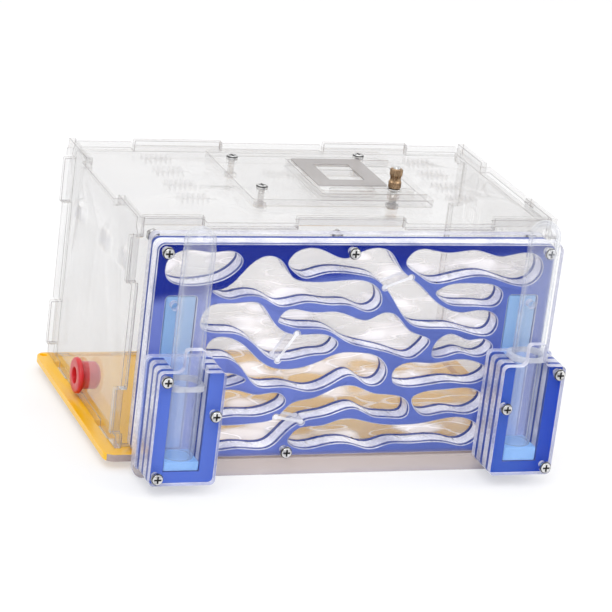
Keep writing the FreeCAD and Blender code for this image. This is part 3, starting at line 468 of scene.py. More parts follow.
@dataclass(frozen=True)
class BlueSheet(Finish):
    """Blue acrylic under a painted reflection: its deep colour along a sloping top band, paler below."""

    deep: Colour = (0.0, 0.018, 0.31)
    middle: Colour = (0.12, 0.18, 0.56)
    pale: Colour = (0.20, 0.26, 0.69)
    painted_reflection_from: float = 0.0850
    slope: float = 0.14
    fade: tuple[float, float] = (-0.02, 0.05)

    def build(self, graph: Graph) -> Link:
        """Build the shader: deep along the top, paler below and duller to the right, the paler parts a
        painted reflection.
        """
        speck = graph.cloud(900.0, 3.0)
        drift = graph.cloud(34.0, 2.0)
        scuff = graph.cloud(240.0, 4.0, (1.0, 1.0, 6.0)).above(0.68, 0.06)
        across, up = graph.across()
        # painted reflection: below a sloping line the blue lightens, to the pale colour on the left and the
        # middle colour on the right; to the right the top band lightens too
        line = up - across * self.slope + (drift - 0.5) * 0.010
        unreflected = line.above(self.painted_reflection_from, 0.0035)
        colour = graph.blend(across.above(*self.fade) * 0.8 + speck * 0.2, self.pale, self.middle)
        colour = graph.blend(unreflected * (0.98 - across.above(0.06, 0.05) * 0.28), colour, self.deep)
        rough = speck * 0.08 + scuff * 0.15 + 0.2
        return graph.principled(Base_Color=colour, Roughness=rough, Specular_IOR_Level=0.06,
                                Normal=graph.relief(speck, 0.01, 0.35))


@dataclass(frozen=True)
class FrostedFilm(Finish):
    """Grey frosted film."""

    colour: Colour = (0.37, 0.35, 0.345)
    pale: Colour = (0.53, 0.505, 0.495)

    def build(self, graph: Graph) -> Link:
        """Build the shader: a fine etched grain that lets some light through."""
        grain = graph.cloud(2600.0, 2.0)
        cloudy = graph.cloud(60.0, 2.0)
        colour = graph.blend(grain * 0.5 + cloudy * 0.4, self.colour, self.pale)
        film = graph.principled(Base_Color=colour, Roughness=0.55, Normal=graph.relief(grain, 0.02, 0.4))
        return graph.see_through(grain * 0.12 + 0.48, film)


@dataclass(frozen=True)
class Metal(Finish):
    """Plated or machined metal."""

    bright: Colour = (0.74, 0.74, 0.73)
    worn: Colour = (0.34, 0.34, 0.35)
    roughness: float = 0.12

    def build(self, graph: Graph) -> Link:
        """Build the shader with turning marks and patches of tarnish."""
        patch = graph.cloud(420.0, 3.0)
        marks = graph.cloud(2600.0, 2.0, (1.0, 1.0, 5.0))
        colour = graph.blend(patch.above(0.56, 0.16), self.bright, self.worn)
        rough = patch * 0.14 + marks * 0.08 + self.roughness
        return graph.principled(Base_Color=colour, Metallic=1.0, Roughness=rough,
                                Normal=graph.relief(marks, 0.01, 0.4))


@dataclass(frozen=True)
class SoftFoam(Finish):
    """Damp open-celled sponge or felt."""

    wet: Colour = (0.10, 0.30, 0.62)
    dry: Colour = (0.28, 0.52, 0.86)
    cell: float = 1500.0
    painted_glow: float = 0.0

    def build(self, graph: Graph) -> Link:
        """Build the shader with cells, darker where damp."""
        values = {"Vector": graph.place(), "Scale": self.cell, "Randomness": 1.0}
        cells = graph.out("ShaderNodeTexVoronoi", {"feature": "F1"}, values, "Distance")
        damp = graph.cloud(110.0, 3.0, (1.0, 1.0, 0.5))
        colour = graph.blend(damp * 0.75 + cells * 0.35, self.wet, self.dry)
        # painted light: emission in the foam's own colour
        return graph.principled(Base_Color=colour, Roughness=0.8 - damp * 0.35, Subsurface_Weight=0.2,
                                Subsurface_Radius=(0.002, 0.003, 0.004), Emission_Color=colour,
                                Emission_Strength=self.painted_glow, Normal=graph.relief(cells, 0.25, 0.6))


@dataclass(frozen=True)
class TubeGlass(Finish):
    """Blown laboratory glass: clear square on, with a painted reflection that makes it bright and grey where
    it curves away.
    """

    rim: Colour = (0.80, 0.83, 0.88)

    def build(self, graph: Graph) -> Link:
        """Build the shader: a see-through wall whose turned-away parts carry a painted pale film for
        reflected light.
        """
        flow = graph.cloud(120.0, 3.0, (1.0, 1.0, 0.08))
        # painted reflection: a grey to pale film that thickens where the wall turns away from view; rim is
        # its pale colour
        veil = graph.turned_away() ** 2.6 * 0.62 + flow * 0.05 + 0.01
        colour = graph.blend(flow, (0.55, 0.58, 0.66), self.rim)
        wall = graph.principled(Base_Color=colour, Roughness=0.15)
        ripple = graph.relief(flow, 0.05, 0.2)
        return graph.polished(graph.see_through(veil, wall), 0.030, 0.02, 4.0, ripple)


@dataclass(frozen=True)
class Silicone(Finish):
    """Milky clear silicone rubber."""

    colour: Colour = (0.86, 0.88, 0.93)

    def build(self, graph: Graph) -> Link:
        """Build the shader: a cloudy body under a soft sheen."""
        milk = graph.cloud(320.0, 3.0)
        colour = graph.blend(milk, (0.72, 0.74, 0.82), self.colour)
        body = graph.principled(Base_Color=colour, Roughness=milk * 0.15 + 0.22, Coat_Weight=0.4,
                                Normal=graph.relief(milk, 0.1, 0.3))
        return graph.see_through(milk * 0.3 + 0.42, body)


@dataclass(frozen=True)
class MouldedRubber(Finish):
    """Moulded rubber with a fine skin."""

    colour: Colour = (0.62, 0.015, 0.02)
    shade: Colour = (0.34, 0.005, 0.008)

    def build(self, graph: Graph) -> Link:
        """Build the shader with moulding grain and handled, duller patches."""
        grain = graph.cloud(1900.0, 3.0)
        handled = graph.cloud(160.0, 3.0)
        colour = graph.blend(handled.above(0.60, 0.2) * 0.5, self.colour, self.shade)
        return graph.principled(Base_Color=colour, Roughness=handled * 0.2 + 0.28, Coat_Weight=0.25,
                                Normal=graph.relief(grain, 0.03, 0.5))


BOX_FACE = ClearFace("box_sheet_face", veil=0.07)
# the left and right walls take a heavier veil than the other walls: painted shade on the same acrylic
SHADED_SIDE_FACE = ClearFace("box_side_face", veil=0.15)
BOX_EDGE = ClearEdge("box_sheet_edge", cover=0.14, pale=(0.66, 0.63, 0.62), dark=(0.46, 0.43, 0.42))
BOX_LINE = ClearEdge("box_sheet_line", cover=0.80, pale=(0.50, 0.475, 0.47), dark=(0.28, 0.265, 0.26))
BOX_SLIT = ClearEdge("box_slit", cover=0.14, pale=(0.62, 0.60, 0.60), dark=(0.46, 0.44, 0.44))
SIDE_SLIT = ClearEdge("side_slit", cover=0.035, pale=(0.70, 0.68, 0.68), dark=(0.50, 0.48, 0.48))
LID_FACE = ClearFace("lid_sheet_face", veil=0.05)
# well back: a bluish film with painted emission that lights the deep, shaded well behind each tube
WELL_FACE = ClearFace("well_back_face", veil=0.20, tint=(0.54, 0.64, 0.94), painted_glow=0.50)
NEST_FACE = ClearFace("nest_sheet_face", veil=0.02, tint=(0.45, 0.45, 0.50), sheen=0.008)
# milky skin behind each gallery: painted reflections, a pale veil with wavy pools and lines of emission
GALLERY_REFLECTION_SKIN = ClearFace("damp_skin", veil=0.14, tint=(0.86, 0.80, 0.77), painted_glints=0.8, painted_glow=0.15)
# nest cover: a painted shadow, a brownish band along its foot up to 7.6 mm; the brownish tint is mostly that
# shadow's colour
COVER_FACE = ClearFace("nest_cover_face", veil=0.006, tint=(0.70, 0.58, 0.55), sheen=0.004, foot=0.0076)
# the edge finishes below all carry a painted emission that brightens the cut edges
NEST_EDGE = ClearEdge("nest_sheet_edge", cover=0.80, pale=(0.90, 0.90, 0.96), dark=(0.45, 0.46, 0.66),
                      painted_glow=0.06)
NEST_LINE = ClearEdge("nest_sheet_line", cover=0.85, pale=(0.95, 0.95, 1.0), dark=(0.30, 0.32, 0.52),
                      painted_glow=0.04)
WALL_EDGE = ClearEdge("gallery_wall", cover=0.96, pale=(0.97, 0.97, 1.0), dark=(0.62, 0.64, 0.80),
                      painted_glow=0.26)
# gallery rim: pale lines painted on the blue front sheet's eased arrises, a painted highlight
RIM = ClearEdge("gallery_rim", cover=0.90, pale=(0.92, 0.93, 1.0), dark=(0.50, 0.54, 0.80), painted_glow=0.10)
GATE_LINE = ClearEdge("gate_line", cover=0.95, pale=(0.97, 0.97, 0.99), dark=(0.70, 0.71, 0.78), painted_glow=0.15)
GATE_FACE = ClearFace("gate_face", veil=0.16, tint=(0.70, 0.69, 0.70))
BLUE = BlueSheet("blue_sheet")
# each tower's blue gets its own paler colours: painted reflection, set apart for the two towers
TOWER_BLUE = {
    "left": BlueSheet("left_tower_blue", middle=(0.09, 0.18, 0.71), pale=(0.095, 0.19, 0.74)),
    "right": BlueSheet("right_tower_blue", middle=(0.0, 0.055, 0.56), pale=(0.035, 0.12, 0.60),
                       fade=(0.077, 0.008))}
BLUE_EDGE = CastSheet("blue_sheet_edge", deep=(0.003, 0.03, 0.25), light=(0.02, 0.08, 0.45), roughness=0.3,
                      coat=0.1)
YELLOW = CastSheet("yellow_sheet", deep=(0.93, 0.44, 0.0), light=(1.0, 0.60, 0.004), roughness=0.25,
                   coat=0.2)
SHADED_EDGE = CastSheet("base_front_edge", deep=(0.44, 0.34, 0.31), light=(0.56, 0.45, 0.42),
                        roughness=0.4, coat=0.0)
# yellow edges: painted emission that lights the base's edges and its shaded slots
YELLOW_EDGE = CastSheet("yellow_sheet_edge", deep=(0.75, 0.36, 0.0), light=(1.0, 0.62, 0.02),
                        roughness=0.3, coat=0.2, painted_glow=0.22)
GREY_FILM = FrostedFilm("grey_frosted_film")
STEEL = Metal("plated_steel")
# recess steel: near black, painted shade in each cross recess
RECESS = Metal("steel_recess", bright=(0.10, 0.10, 0.10), worn=(0.03, 0.03, 0.03), roughness=0.4)
# shank: steel seen through clear acrylic, drawn pale and half see-through, with painted emission
SHANK = ClearEdge("shank_in_its_hole", cover=0.40, pale=(0.90, 0.89, 0.88), dark=(0.52, 0.51, 0.50),
                  painted_glow=0.24)
BRASS = Metal("knurled_brass", bright=(0.44, 0.30, 0.18), worn=(0.16, 0.10, 0.055), roughness=0.2)
# sponge and pad: painted emission lights the foam in the shaded wells and behind the layers
SPONGE = SoftFoam("blue_sponge", wet=(0.14, 0.31, 0.64), dry=(0.28, 0.50, 0.86), painted_glow=0.34)
PAD = SoftFoam("blue_pad", wet=(0.20, 0.37, 0.66), dry=(0.34, 0.54, 0.82), cell=2400.0, painted_glow=0.15)
GLASS = TubeGlass("tube_glass")
COLLAR = Silicone("milky_silicone")
RED = MouldedRubber("red_rubber", colour=(0.74, 0.016, 0.024), shade=(0.45, 0.008, 0.012))
FOOT = MouldedRubber("foot_rubber", colour=(0.42, 0.42, 0.42), shade=(0.25, 0.25, 0.25))


# ------------------------------------------------------------------ bench work
class Axis(Enum):
    """The direction of a sheet's thickness."""

    X = 0
    Y = 1
    Z = 2


class Layer(IntEnum):
    """The material numbers of a sheet's faces."""

    BROAD = 0
    CUT = 1
    ARRIS = 2
    EXTRA = 3


class ScrewPart(IntEnum):
    """The material numbers of a screw's faces."""

    HEAD = 0
    RECESS = 1
    SHANK = 2


def grouped(things: Iterable[Any], beside: Callable[[Any], Iterable[Any]]) -> list[list[Any]]:
    """Gather things into connected groups.

    Args:
        things: The things that may be in a group.
        beside: Gives a thing's neighbours.

    Returns:
        One list for each group.
    """
    things = list(things)
    waiting, groups = set(things), []
    for start in things:
        if start not in waiting:
            continue
        waiting.remove(start)
        group, front = [start], [start]
        while front:
            for other in beside(front.pop()):
                if other in waiting:
                    waiting.remove(other)
                    group.append(other)
                    front.append(other)
        groups.append(group)
    return groups


def corners(points: Iterable[Vector]) -> tuple[Vector, Vector]:
    """Return the lowest and the highest corner of the box round some points."""
    points = list(points)
    low, high = (Vector([pick(point[axis] for point in points) for axis in range(3)]) for pick in (min, max))
    return low, high


@dataclass
class Bench:
    """Makes the pieces: dressed copies of the frame's nodes and shapes built from nothing.

    Attributes:
        gap: How far each copy is drawn in from the node's box.
        weld: How close two points of a copy are to be made one.
        crease: The angle from which an edge is sharp.
        flat_angle: The angle up to which two faces are one.
        level: How far below a head's top its rim may lie.
        touch: How far below a head's top a point still counts as the top.
        broad_from: From which share of its normal along the thickness a face is broad.
        cut_to: Up to which share of its normal along the thickness a face is a cut edge.
        small_hole: The largest side of a small hole's box.
        rim_share: How far out a head's rim lies, as a share of the head's width.
        head_round: The radius that rounds a head's rim.
        recess_reach: How far to the side of a head's top points its recess can lie.
        recess_depth: How far below a head's top its recess can reach.
        recess_from: From which depth a level face belongs to the recess.
        steep_to: Up to which share of its normal the way a head faces a face is a wall.
        screw_bevel: The bevel along a screw's sharp edges.
        shank_from: From which depth a face belongs to the shank.
        corner_share: A foam block's corner bevel, as a share of its least side.
        lump_pitch: How many lumps of foam there are to a cell.
    """

    gap: float = 0.02 * MM
    weld: float = 0.002 * MM
    crease: float = math.radians(32.0)
    flat_angle: float = math.radians(0.5)
    level: float = 0.05 * MM
    touch: float = 0.02 * MM
    broad_from: float = 0.95
    cut_to: float = 0.2
    small_hole: float = 14.0 * MM
    rim_share: float = 0.46
    head_round: float = 0.8 * MM
    recess_reach: float = 0.9 * MM
    recess_depth: float = 1.3 * MM
    recess_from: float = 0.25 * MM
    steep_to: float = 0.5
    screw_bevel: float = 0.05 * MM
    shank_from: float = 2.08 * MM
    corner_share: float = 0.12
    lump_pitch: float = 0.7

    def place(self, name: str, mesh: bmesh.types.BMesh, finishes: Sequence[Finish], body: str,
              nodes: Sequence[str], slot: str) -> bpy.types.Object:
        """Turn a bmesh into a finished piece that rides on its body.

        Args:
            name: The piece's name.
            mesh: Its shape; it is freed.
            finishes: One finish for each material number in the mesh.
            body: The body that it moves with.
            nodes: The frame's nodes that it stands for.
            slot: The record's material slot; not used.

        Returns:
            The object.
        """
        data = bpy.data.meshes.new(name)
        mesh.to_mesh(data)
        mesh.free()
        for finish in finishes:
            data.materials.append(finish.material())
        for polygon in data.polygons:
            polygon.use_smooth = True
        data.set_sharp_from_angle(angle=self.crease)
        piece = bpy.data.objects.new(name, data)
        bpy.context.scene.collection.objects.link(piece)
        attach(piece, body)
        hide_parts(*nodes)
        log.info("%s: %d faces", name, len(data.polygons))
        return piece

    def copy_of(self, node: str) -> bmesh.types.BMesh:
        """Return a closed copy of a node's mesh, drawn in by the gap so that no two faces coincide.

        Args:
            node: The frame's node.

        Returns:
            The copy.
        """
        mesh = bmesh.new()
        mesh.from_mesh(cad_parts[node].data)
        bmesh.ops.remove_doubles(mesh, verts=mesh.verts, dist=self.weld)
        low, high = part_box(node)
        centre, span = (low + high) / 2, high - low
        for vert in mesh.verts:
            for axis in range(3):
                shrink = 1 - 2 * self.gap / span[axis]
                vert.co[axis] = centre[axis] + (vert.co[axis] - centre[axis]) * shrink
        for face in mesh.faces:
            face.material_index = Layer.BROAD
        return mesh

    def merge_flats(self, mesh: bmesh.types.BMesh) -> None:
        """Dissolve the edges that lie within one flat face."""
        bmesh.ops.dissolve_limit(mesh, angle_limit=self.flat_angle, verts=mesh.verts, edges=mesh.edges)

    def bevel(self, mesh: bmesh.types.BMesh, edges: Iterable[bmesh.types.BMEdge], width: float,
              segments: int, clamp: bool) -> None:
        """Bevel some edges.

        Args:
            mesh: The mesh.
            edges: The edges.
            width: The bevel's width in metres.
            segments: Its segments.
            clamp: Whether a crowded edge narrows the bevel.
        """
        bmesh.ops.bevel(mesh, geom=list(edges), offset=width, offset_type="OFFSET", affect="EDGES",
                        segments=segments, profile=0.5, material=-1, clamp_overlap=clamp)

    def soften(self, mesh: bmesh.types.BMesh, width: float, segments: int = 1, clamp: bool = True) -> None:
        """Bevel the mesh's sharp edges.

        Args:
            mesh: The mesh.
            width: The bevel's width in metres.
            segments: Its segments.
            clamp: Whether a crowded edge narrows the bevel.
        """
        self.merge_flats(mesh)
        sharp = [e for e in mesh.edges if len(e.link_faces) == 2 and e.calc_face_angle(0.0) > self.crease]
        self.bevel(mesh, sharp, width, segments, clamp)

    def hole_faces(self, mesh: bmesh.types.BMesh) -> list[bmesh.types.BMFace]:
        """Return the walls and arrises of a sheet's small holes.

        Args:
            mesh: The sheet, with its faces numbered.

        Returns:
            The faces.
        """
        rims = [face for face in mesh.faces if face.material_index != Layer.BROAD]
        found = []
        for ring in grouped(rims, lambda face: (other for edge in face.edges for other in edge.link_faces)):
            low, high = corners(vert.co for face in ring for vert in face.verts)
            if max(high - low) < self.small_hole:
                found += ring
        return found

    def cut_sheet(self, node: str, axis: Axis, bevel: float) -> bmesh.types.BMesh:
        """Return a laser-cut sheet with eased edges and its faces numbered by layer.

        Args:
            node: The frame's node.
            axis: The direction of its thickness.
            bevel: The width of its eased edges.

        Returns:
            The mesh.
        """
        mesh = self.copy_of(node)
        self.soften(mesh, bevel, clamp=False)
        mesh.normal_update()
        for face in mesh.faces:
            across = abs(face.normal[axis.value])
            edge = Layer.CUT if across < self.cut_to else Layer.ARRIS
            face.material_index = Layer.BROAD if across > self.broad_from else edge
        return mesh

    def sheet(self, node: str, axis: Axis, looks: Sequence[Finish], body: str, slot: str,
              bevel: float = EASED) -> bpy.types.Object:
        """Make a laser-cut sheet with its own finish on its cut edges.

        Args:
            node: The frame's node.
            axis: The direction of its thickness.
            looks: The finishes of its broad faces, its cut edges, the thin arrises between them and,
                where it is given, its small holes.
            body: The body that it moves with.
            slot: The record's material slot.
            bevel: The width of its eased edges.

        Returns:
            The object.
        """
        mesh = self.cut_sheet(node, axis, bevel)
        if len(looks) > Layer.EXTRA:
            for face in self.hole_faces(mesh):
                face.material_index = Layer.EXTRA
        return self.place("dressed_" + node, mesh, looks, body, (node,), slot)

    def solid(self, node: str, finish: Finish, body: str, slot: str, bevel: float = 0.12 * MM,
              segments: int = 1) -> bpy.types.Object:
        """Make a small solid piece with eased edges.

        Args:
            node: The frame's node.
            finish: Its finish.
            body: The body that it moves with.
            slot: The record's material slot.
            bevel: The width of its eased edges, or 0 for none.
            segments: The segments of each eased edge.

        Returns:
            The object.
        """
        mesh = self.copy_of(node)
        if bevel:
            self.soften(mesh, bevel, segments)
        return self.place("dressed_" + node, mesh, (finish,), body, (node,), slot)

    def round_heads(self, mesh: bmesh.types.BMesh, facing: Vector, top: float) -> None:
        """Round the rims of the screw heads.

        Args:
            mesh: The screws.
            facing: The way that the heads face.
            top: The height of the heads' tops that way.
        """
        rims = set()
        for screw in grouped(mesh.verts, lambda vert: (edge.other_vert(vert) for edge in vert.link_edges)):
            tops = [vert for vert in screw if top - vert.co.dot(facing) < self.level]
            low, high = corners(vert.co for vert in tops)
            for edge in {edge for vert in tops for edge in vert.link_edges}:
                ends = [end.co for end in edge.verts]
                out = min((end - (low + high) / 2).length for end in ends)
                level = max(top - end.dot(facing) for end in ends) < self.level
                outer = out > self.rim_share * max(high - low)
                if level and outer and edge.calc_face_angle(0.0) > self.crease:
                    rims.add(edge)
        self.bevel(mesh, rims, self.head_round, 4, False)

    def screws(self, node: str, facing: Vector) -> bpy.types.Object:
        """Make a node's screws, with the cross recess in each head darkened by painted shade.

        Args:
            node: The frame's node.
            facing: The way that the heads face.

        Returns:
            The object.
        """
        mesh = self.copy_of(node)
        self.merge_flats(mesh)
        top = max(vert.co.dot(facing) for vert in mesh.verts)
        self.round_heads(mesh, facing, top)
        self.soften(mesh, self.screw_bevel)
        mesh.normal_update()
        tips = [vert.co for vert in mesh.verts if top - vert.co.dot(facing) < self.touch]
        for face in mesh.faces:
            centre = face.calc_center_median()
            below = top - centre.dot(facing)
            near = min(((centre - tip) - (centre - tip).dot(facing) * facing).length for tip in tips)
            sunk = below > self.recess_from or abs(face.normal.dot(facing)) < self.steep_to
            # painted shade: the recess faces get the dark steel
            if sunk and below < self.recess_depth and near < self.recess_reach:
                face.material_index = ScrewPart.RECESS
            elif below > self.shank_from:
                face.material_index = ScrewPart.SHANK
            else:
                face.material_index = ScrewPart.HEAD
        return self.place("dressed_" + node, mesh, (STEEL, RECESS, SHANK), "habitat", (node,), "steel")

    def foam(self, node: str, finish: Finish, body: str, slot: str, cell: float,
             depth: float) -> bpy.types.Object:
        """Make a soft block with rounded corners and an uneven, open surface.

        Args:
            node: The frame's node that gives its room.
            finish: Its finish.
            body: The body that it moves with.
            slot: The record's material slot.
            cell: The size of the surface's lumps.
            depth: How far the lumps sink in.

        Returns:
            The object.
        """
        low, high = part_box(node)
        span = high - low
        mesh = bmesh.new()
        bmesh.ops.create_cube(mesh, size=1.0)
        bmesh.ops.scale(mesh, vec=span, verts=mesh.verts)
        self.bevel(mesh, mesh.edges, min(span) * self.corner_share, 2, True)
        for axis in range(3):
            side = Vector([1.0 if axis == i else 0.0 for i in range(3)])
            steps = max(2, round(span[axis] / cell))
            for step in range(1, steps):
                cut = span[axis] * (step / steps - 0.5)
                geom = mesh.verts[:] + mesh.edges[:] + mesh.faces[:]
                bmesh.ops.bisect_plane(mesh, geom=geom, plane_co=side * cut, plane_no=side)
        mesh.normal_update()
        for vert in mesh.verts:
            lump = noise.noise(vert.co / cell * self.lump_pitch) * 0.5 + 0.5
            vert.co -= vert.normal * depth * lump
        bmesh.ops.translate(mesh, vec=(low + high) / 2, verts=mesh.verts)
        return self.place("dressed_" + node, mesh, (finish,), body, (node,), slot)


# ------------------------------------------------------------------ sub-assemblies
@dataclass
class ForagingBox:
    """The clear box on its yellow base, with its feet and the red plug."""

    bench: Bench
    walls: dict[str, Axis] = field(default_factory=lambda: {
        "front_wall": Axis.Y, "back_wall": Axis.Y, "left_wall": Axis.X, "right_wall": Axis.X,
        "roof_panel": Axis.Z})
    line_width: float = 0.28 * MM
    shaded_depth: float = 32.0 * MM
    foot_bevel: float = 0.4 * MM
    plug_bevel: float = 0.45 * MM

    def base(self) -> None:
        """Build the base, whose front edge lies in the shade under the nest."""
        mesh = self.bench.cut_sheet("base_plate", Axis.Z, EASED)
        for face in mesh.faces:
            if face.normal.y < -0.5 and face.calc_center_median().y < CAD_BOX[0].y + self.shaded_depth:
                face.material_index = Layer.EXTRA
        looks = (YELLOW, YELLOW_EDGE, YELLOW_EDGE, SHADED_EDGE)
        self.bench.place("dressed_base_plate", mesh, looks, "habitat", ("base_plate",), "yellow_acrylic")

    def build(self) -> None:
        """Build the walls, the roof, the base, the feet and the plug."""
        for node, axis in self.walls.items():
            side = axis is Axis.X
            looks = (SHADED_SIDE_FACE if side else BOX_FACE, BOX_EDGE, BOX_LINE, SIDE_SLIT if side else BOX_SLIT)
            self.bench.sheet(node, axis, looks, "habitat", "clear_acrylic", self.line_width)
        self.base()
        self.bench.solid("base_feet", FOOT, "habitat", "foot_rubber", self.foot_bevel, 2)
        self.bench.solid("red_plug", RED, "red_plug", "red_rubber", self.plug_bevel, 3)


@dataclass
class Lid:
    """The lid frame, the sliding door with its grey frame, and their fasteners."""

    bench: Bench
    line_width: float = 0.22 * MM
    film_bevel: float = 0.08 * MM
    nut_bevel: float = 0.2 * MM

    def build(self) -> None:
        """Build the lid's pieces."""
        looks = (LID_FACE, BOX_EDGE, BOX_LINE)
        self.bench.sheet("lid_frame", Axis.Z, looks, "habitat", "clear_acrylic", self.line_width)
        self.bench.sheet("lid_door", Axis.Z, looks, "lid_door", "clear_acrylic", self.line_width)
        self.bench.solid("door_window_frame", GREY_FILM, "lid_door", "grey_frosted", self.film_bevel)
        self.bench.screws("lid_screws", UPWARD)
        self.bench.solid("lid_nuts", SHANK, "habitat", "steel", self.nut_bevel)
        self.bench.solid("thumb_screw", STEEL, "habitat", "steel", EASED)
        self.bench.solid("thumb_washer", STEEL, "thumb_washer", "steel")


@dataclass
class KnurledNut:
    """The brass thumb nut: knurled, with a narrower waist between its two ends."""

    bench: Bench
    teeth: int = 14
    tooth_depth: float = 0.36 * MM
    bore: float = 1.56 * MM
    chamfer: float = 0.30 * MM
    waist_share: float = 0.84

    def profile(self, height: float, radius: float) -> list[tuple[float, float, bool]]:
        """Return the outline as radius, height and whether it is knurled.

        Args:
            height: The nut's height.
            radius: The radius at its ends.

        Returns:
            The outline's points, from the bore's foot round to its head.
        """
        waist, chamfer = self.waist_share * radius, self.chamfer
        return [
            (self.bore, 0.0, False), (radius - 2 * chamfer, 0.0, False), (radius, chamfer, True),
            (radius, 0.16 * height, True), (radius, 0.32 * height, True),
            (radius - chamfer, 0.36 * height, True), (waist, 0.44 * height, True),
            (waist, 0.54 * height, True), (radius - chamfer, 0.62 * height, True),
            (radius, 0.66 * height, True), (radius, 0.82 * height, True), (radius, height - chamfer, True),
            (radius - 2 * chamfer, height, False), (self.bore, height, False)]

    def build(self) -> None:
        """Spin the outline, then press the knurling's grooves into its side."""
        low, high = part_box("thumb_nut")
        centre, height, radius = (low + high) / 2, high.z - low.z, (high.x - low.x) / 2
        mesh = bmesh.new()
        outline = self.profile(height, radius)
        knurled = mesh.verts.layers.int.new("knurled")
        ring = [mesh.verts.new((r, 0.0, z)) for r, z, _ in outline]
        for vert, (_, _, cut) in zip(ring, outline):
            vert[knurled] = int(cut)
        edges = [mesh.edges.new(pair) for pair in zip(ring, ring[1:] + ring[:1])]
        bmesh.ops.spin(mesh, geom=ring + edges, cent=(0, 0, 0), axis=(0, 0, 1), angle=math.tau,
                       steps=self.teeth * 4, use_merge=True)
        for vert in mesh.verts:
            if vert[knurled]:
                turn = math.atan2(vert.co.y, vert.co.x)
                groove = 0.5 - 0.5 * math.cos(turn * self.teeth)
                outwards = Vector((vert.co.x, vert.co.y, 0.0)).normalized()
                vert.co -= outwards * self.tooth_depth * groove
        bmesh.ops.recalc_face_normals(mesh, faces=mesh.faces)
        bmesh.ops.translate(mesh, vec=(centre.x, centre.y, low.z), verts=mesh.verts)
        self.bench.place("knurled_thumb_nut", mesh, (BRASS,), "thumb_nut", ("thumb_nut",), "brass")


@dataclass
class Nest:
    """The layered nest: five sheets, pads, gates and fasteners."""

    bench: Bench
    wall_bevel: float = 0.2 * MM
    rim: float = 0.34 * MM
    gallery_width: float = 15.0 * MM
    gallery_height: float = 45.0 * MM
    rim_angle: float = 1.0
    skin: float = 0.04 * MM
    gate_bevel: float = 0.1 * MM
    nut_bevel: float = 0.2 * MM
    pad_cell: float = 1.6 * MM
    pad_pits: float = 0.12 * MM

    def gallery_loops(self, rear: bmesh.types.BMesh) -> list[list[bmesh.types.BMEdge]]:
        """Return the rear outline of each gallery.

        Args:
            rear: A copy of the rear sheet.

        Returns:
            One list of edges for each gallery.
        """
        back = corners(vert.co for vert in rear.verts)[1].y - self.skin / 2
        rims = [edge for edge in rear.edges if edge.calc_face_angle(0.0) > self.rim_angle
                and min(vert.co.y for vert in edge.verts) > back]
        found = []
        for loop in grouped(rims, lambda edge: (other for vert in edge.verts for other in vert.link_edges)):
            low, high = corners(vert.co for edge in loop for vert in edge.verts)
            if high.x - low.x > self.gallery_width and high.z - low.z < self.gallery_height:
                found.append(loop)
        return found

    def back_plate(self) -> None:
        """Build the back plate, with a thin milky skin behind each gallery that carries painted reflections.
        """
        plate = self.bench.cut_sheet("nest_back_plate", Axis.Y, EASED)
        front = corners(vert.co for vert in plate.verts)[0].y
        rear = self.bench.copy_of("nest_rear_sheet")
        self.bench.merge_flats(rear)
        for loop in self.gallery_loops(rear):
            rim = dict.fromkeys(vert for edge in loop for vert in edge.verts)
            twins = {vert: plate.verts.new((vert.co.x, front - self.skin, vert.co.z)) for vert in rim}
            outline = [plate.edges.new([twins[vert] for vert in edge.verts]) for edge in loop]
            made = bmesh.ops.triangle_fill(plate, edges=outline, use_beauty=True, normal=FORWARD)
            faces = [item for item in made["geom"] if isinstance(item, bmesh.types.BMFace)]
            for face in faces:
                face.material_index = Layer.EXTRA
            thick = bmesh.ops.extrude_face_region(plate, geom=faces)["geom"]
            moved = [item for item in thick if isinstance(item, bmesh.types.BMVert)]
            bmesh.ops.translate(plate, vec=FORWARD * self.skin, verts=moved)
        skins = [face for face in plate.faces if face.material_index == Layer.EXTRA]
        bmesh.ops.recalc_face_normals(plate, faces=skins)
        rear.free()
        looks = (NEST_FACE, NEST_EDGE, NEST_LINE, GALLERY_REFLECTION_SKIN)
        self.bench.place("dressed_nest_back_plate", plate, looks, "habitat", ("nest_back_plate",),
                         "clear_acrylic")

    def build(self) -> None:
        """Build the nest from its back plate forward."""
        sheet = self.bench.sheet
        blue = (BLUE, BLUE_EDGE, BLUE_EDGE)
        walls = (NEST_FACE, WALL_EDGE, NEST_LINE)
        gates = (GATE_LINE, GATE_FACE, GATE_LINE)
        self.back_plate()
        sheet("nest_rear_sheet", Axis.Y, blue, "habitat", "blue_acrylic", self.wall_bevel)
        sheet("nest_gallery_sheet", Axis.Y, walls, "habitat", "clear_acrylic", self.wall_bevel)
        sheet("nest_front_sheet", Axis.Y, (BLUE, BLUE_EDGE, RIM), "habitat", "blue_acrylic", self.rim)
        sheet("nest_cover", Axis.Y, (COVER_FACE, NEST_EDGE, NEST_LINE), "habitat", "clear_acrylic")
        for side in ("left", "right"):
            pad = side + "_moisture_pad"
            self.bench.foam(pad, PAD, "habitat", "pale_sponge", self.pad_cell, self.pad_pits)
        sheet("gallery_gates", Axis.Y, gates, "habitat", "clear_acrylic", self.gate_bevel)
        self.bench.screws("nest_screws", FORWARD)
        self.bench.solid("nest_nuts", STEEL, "habitat", "steel", self.nut_bevel)


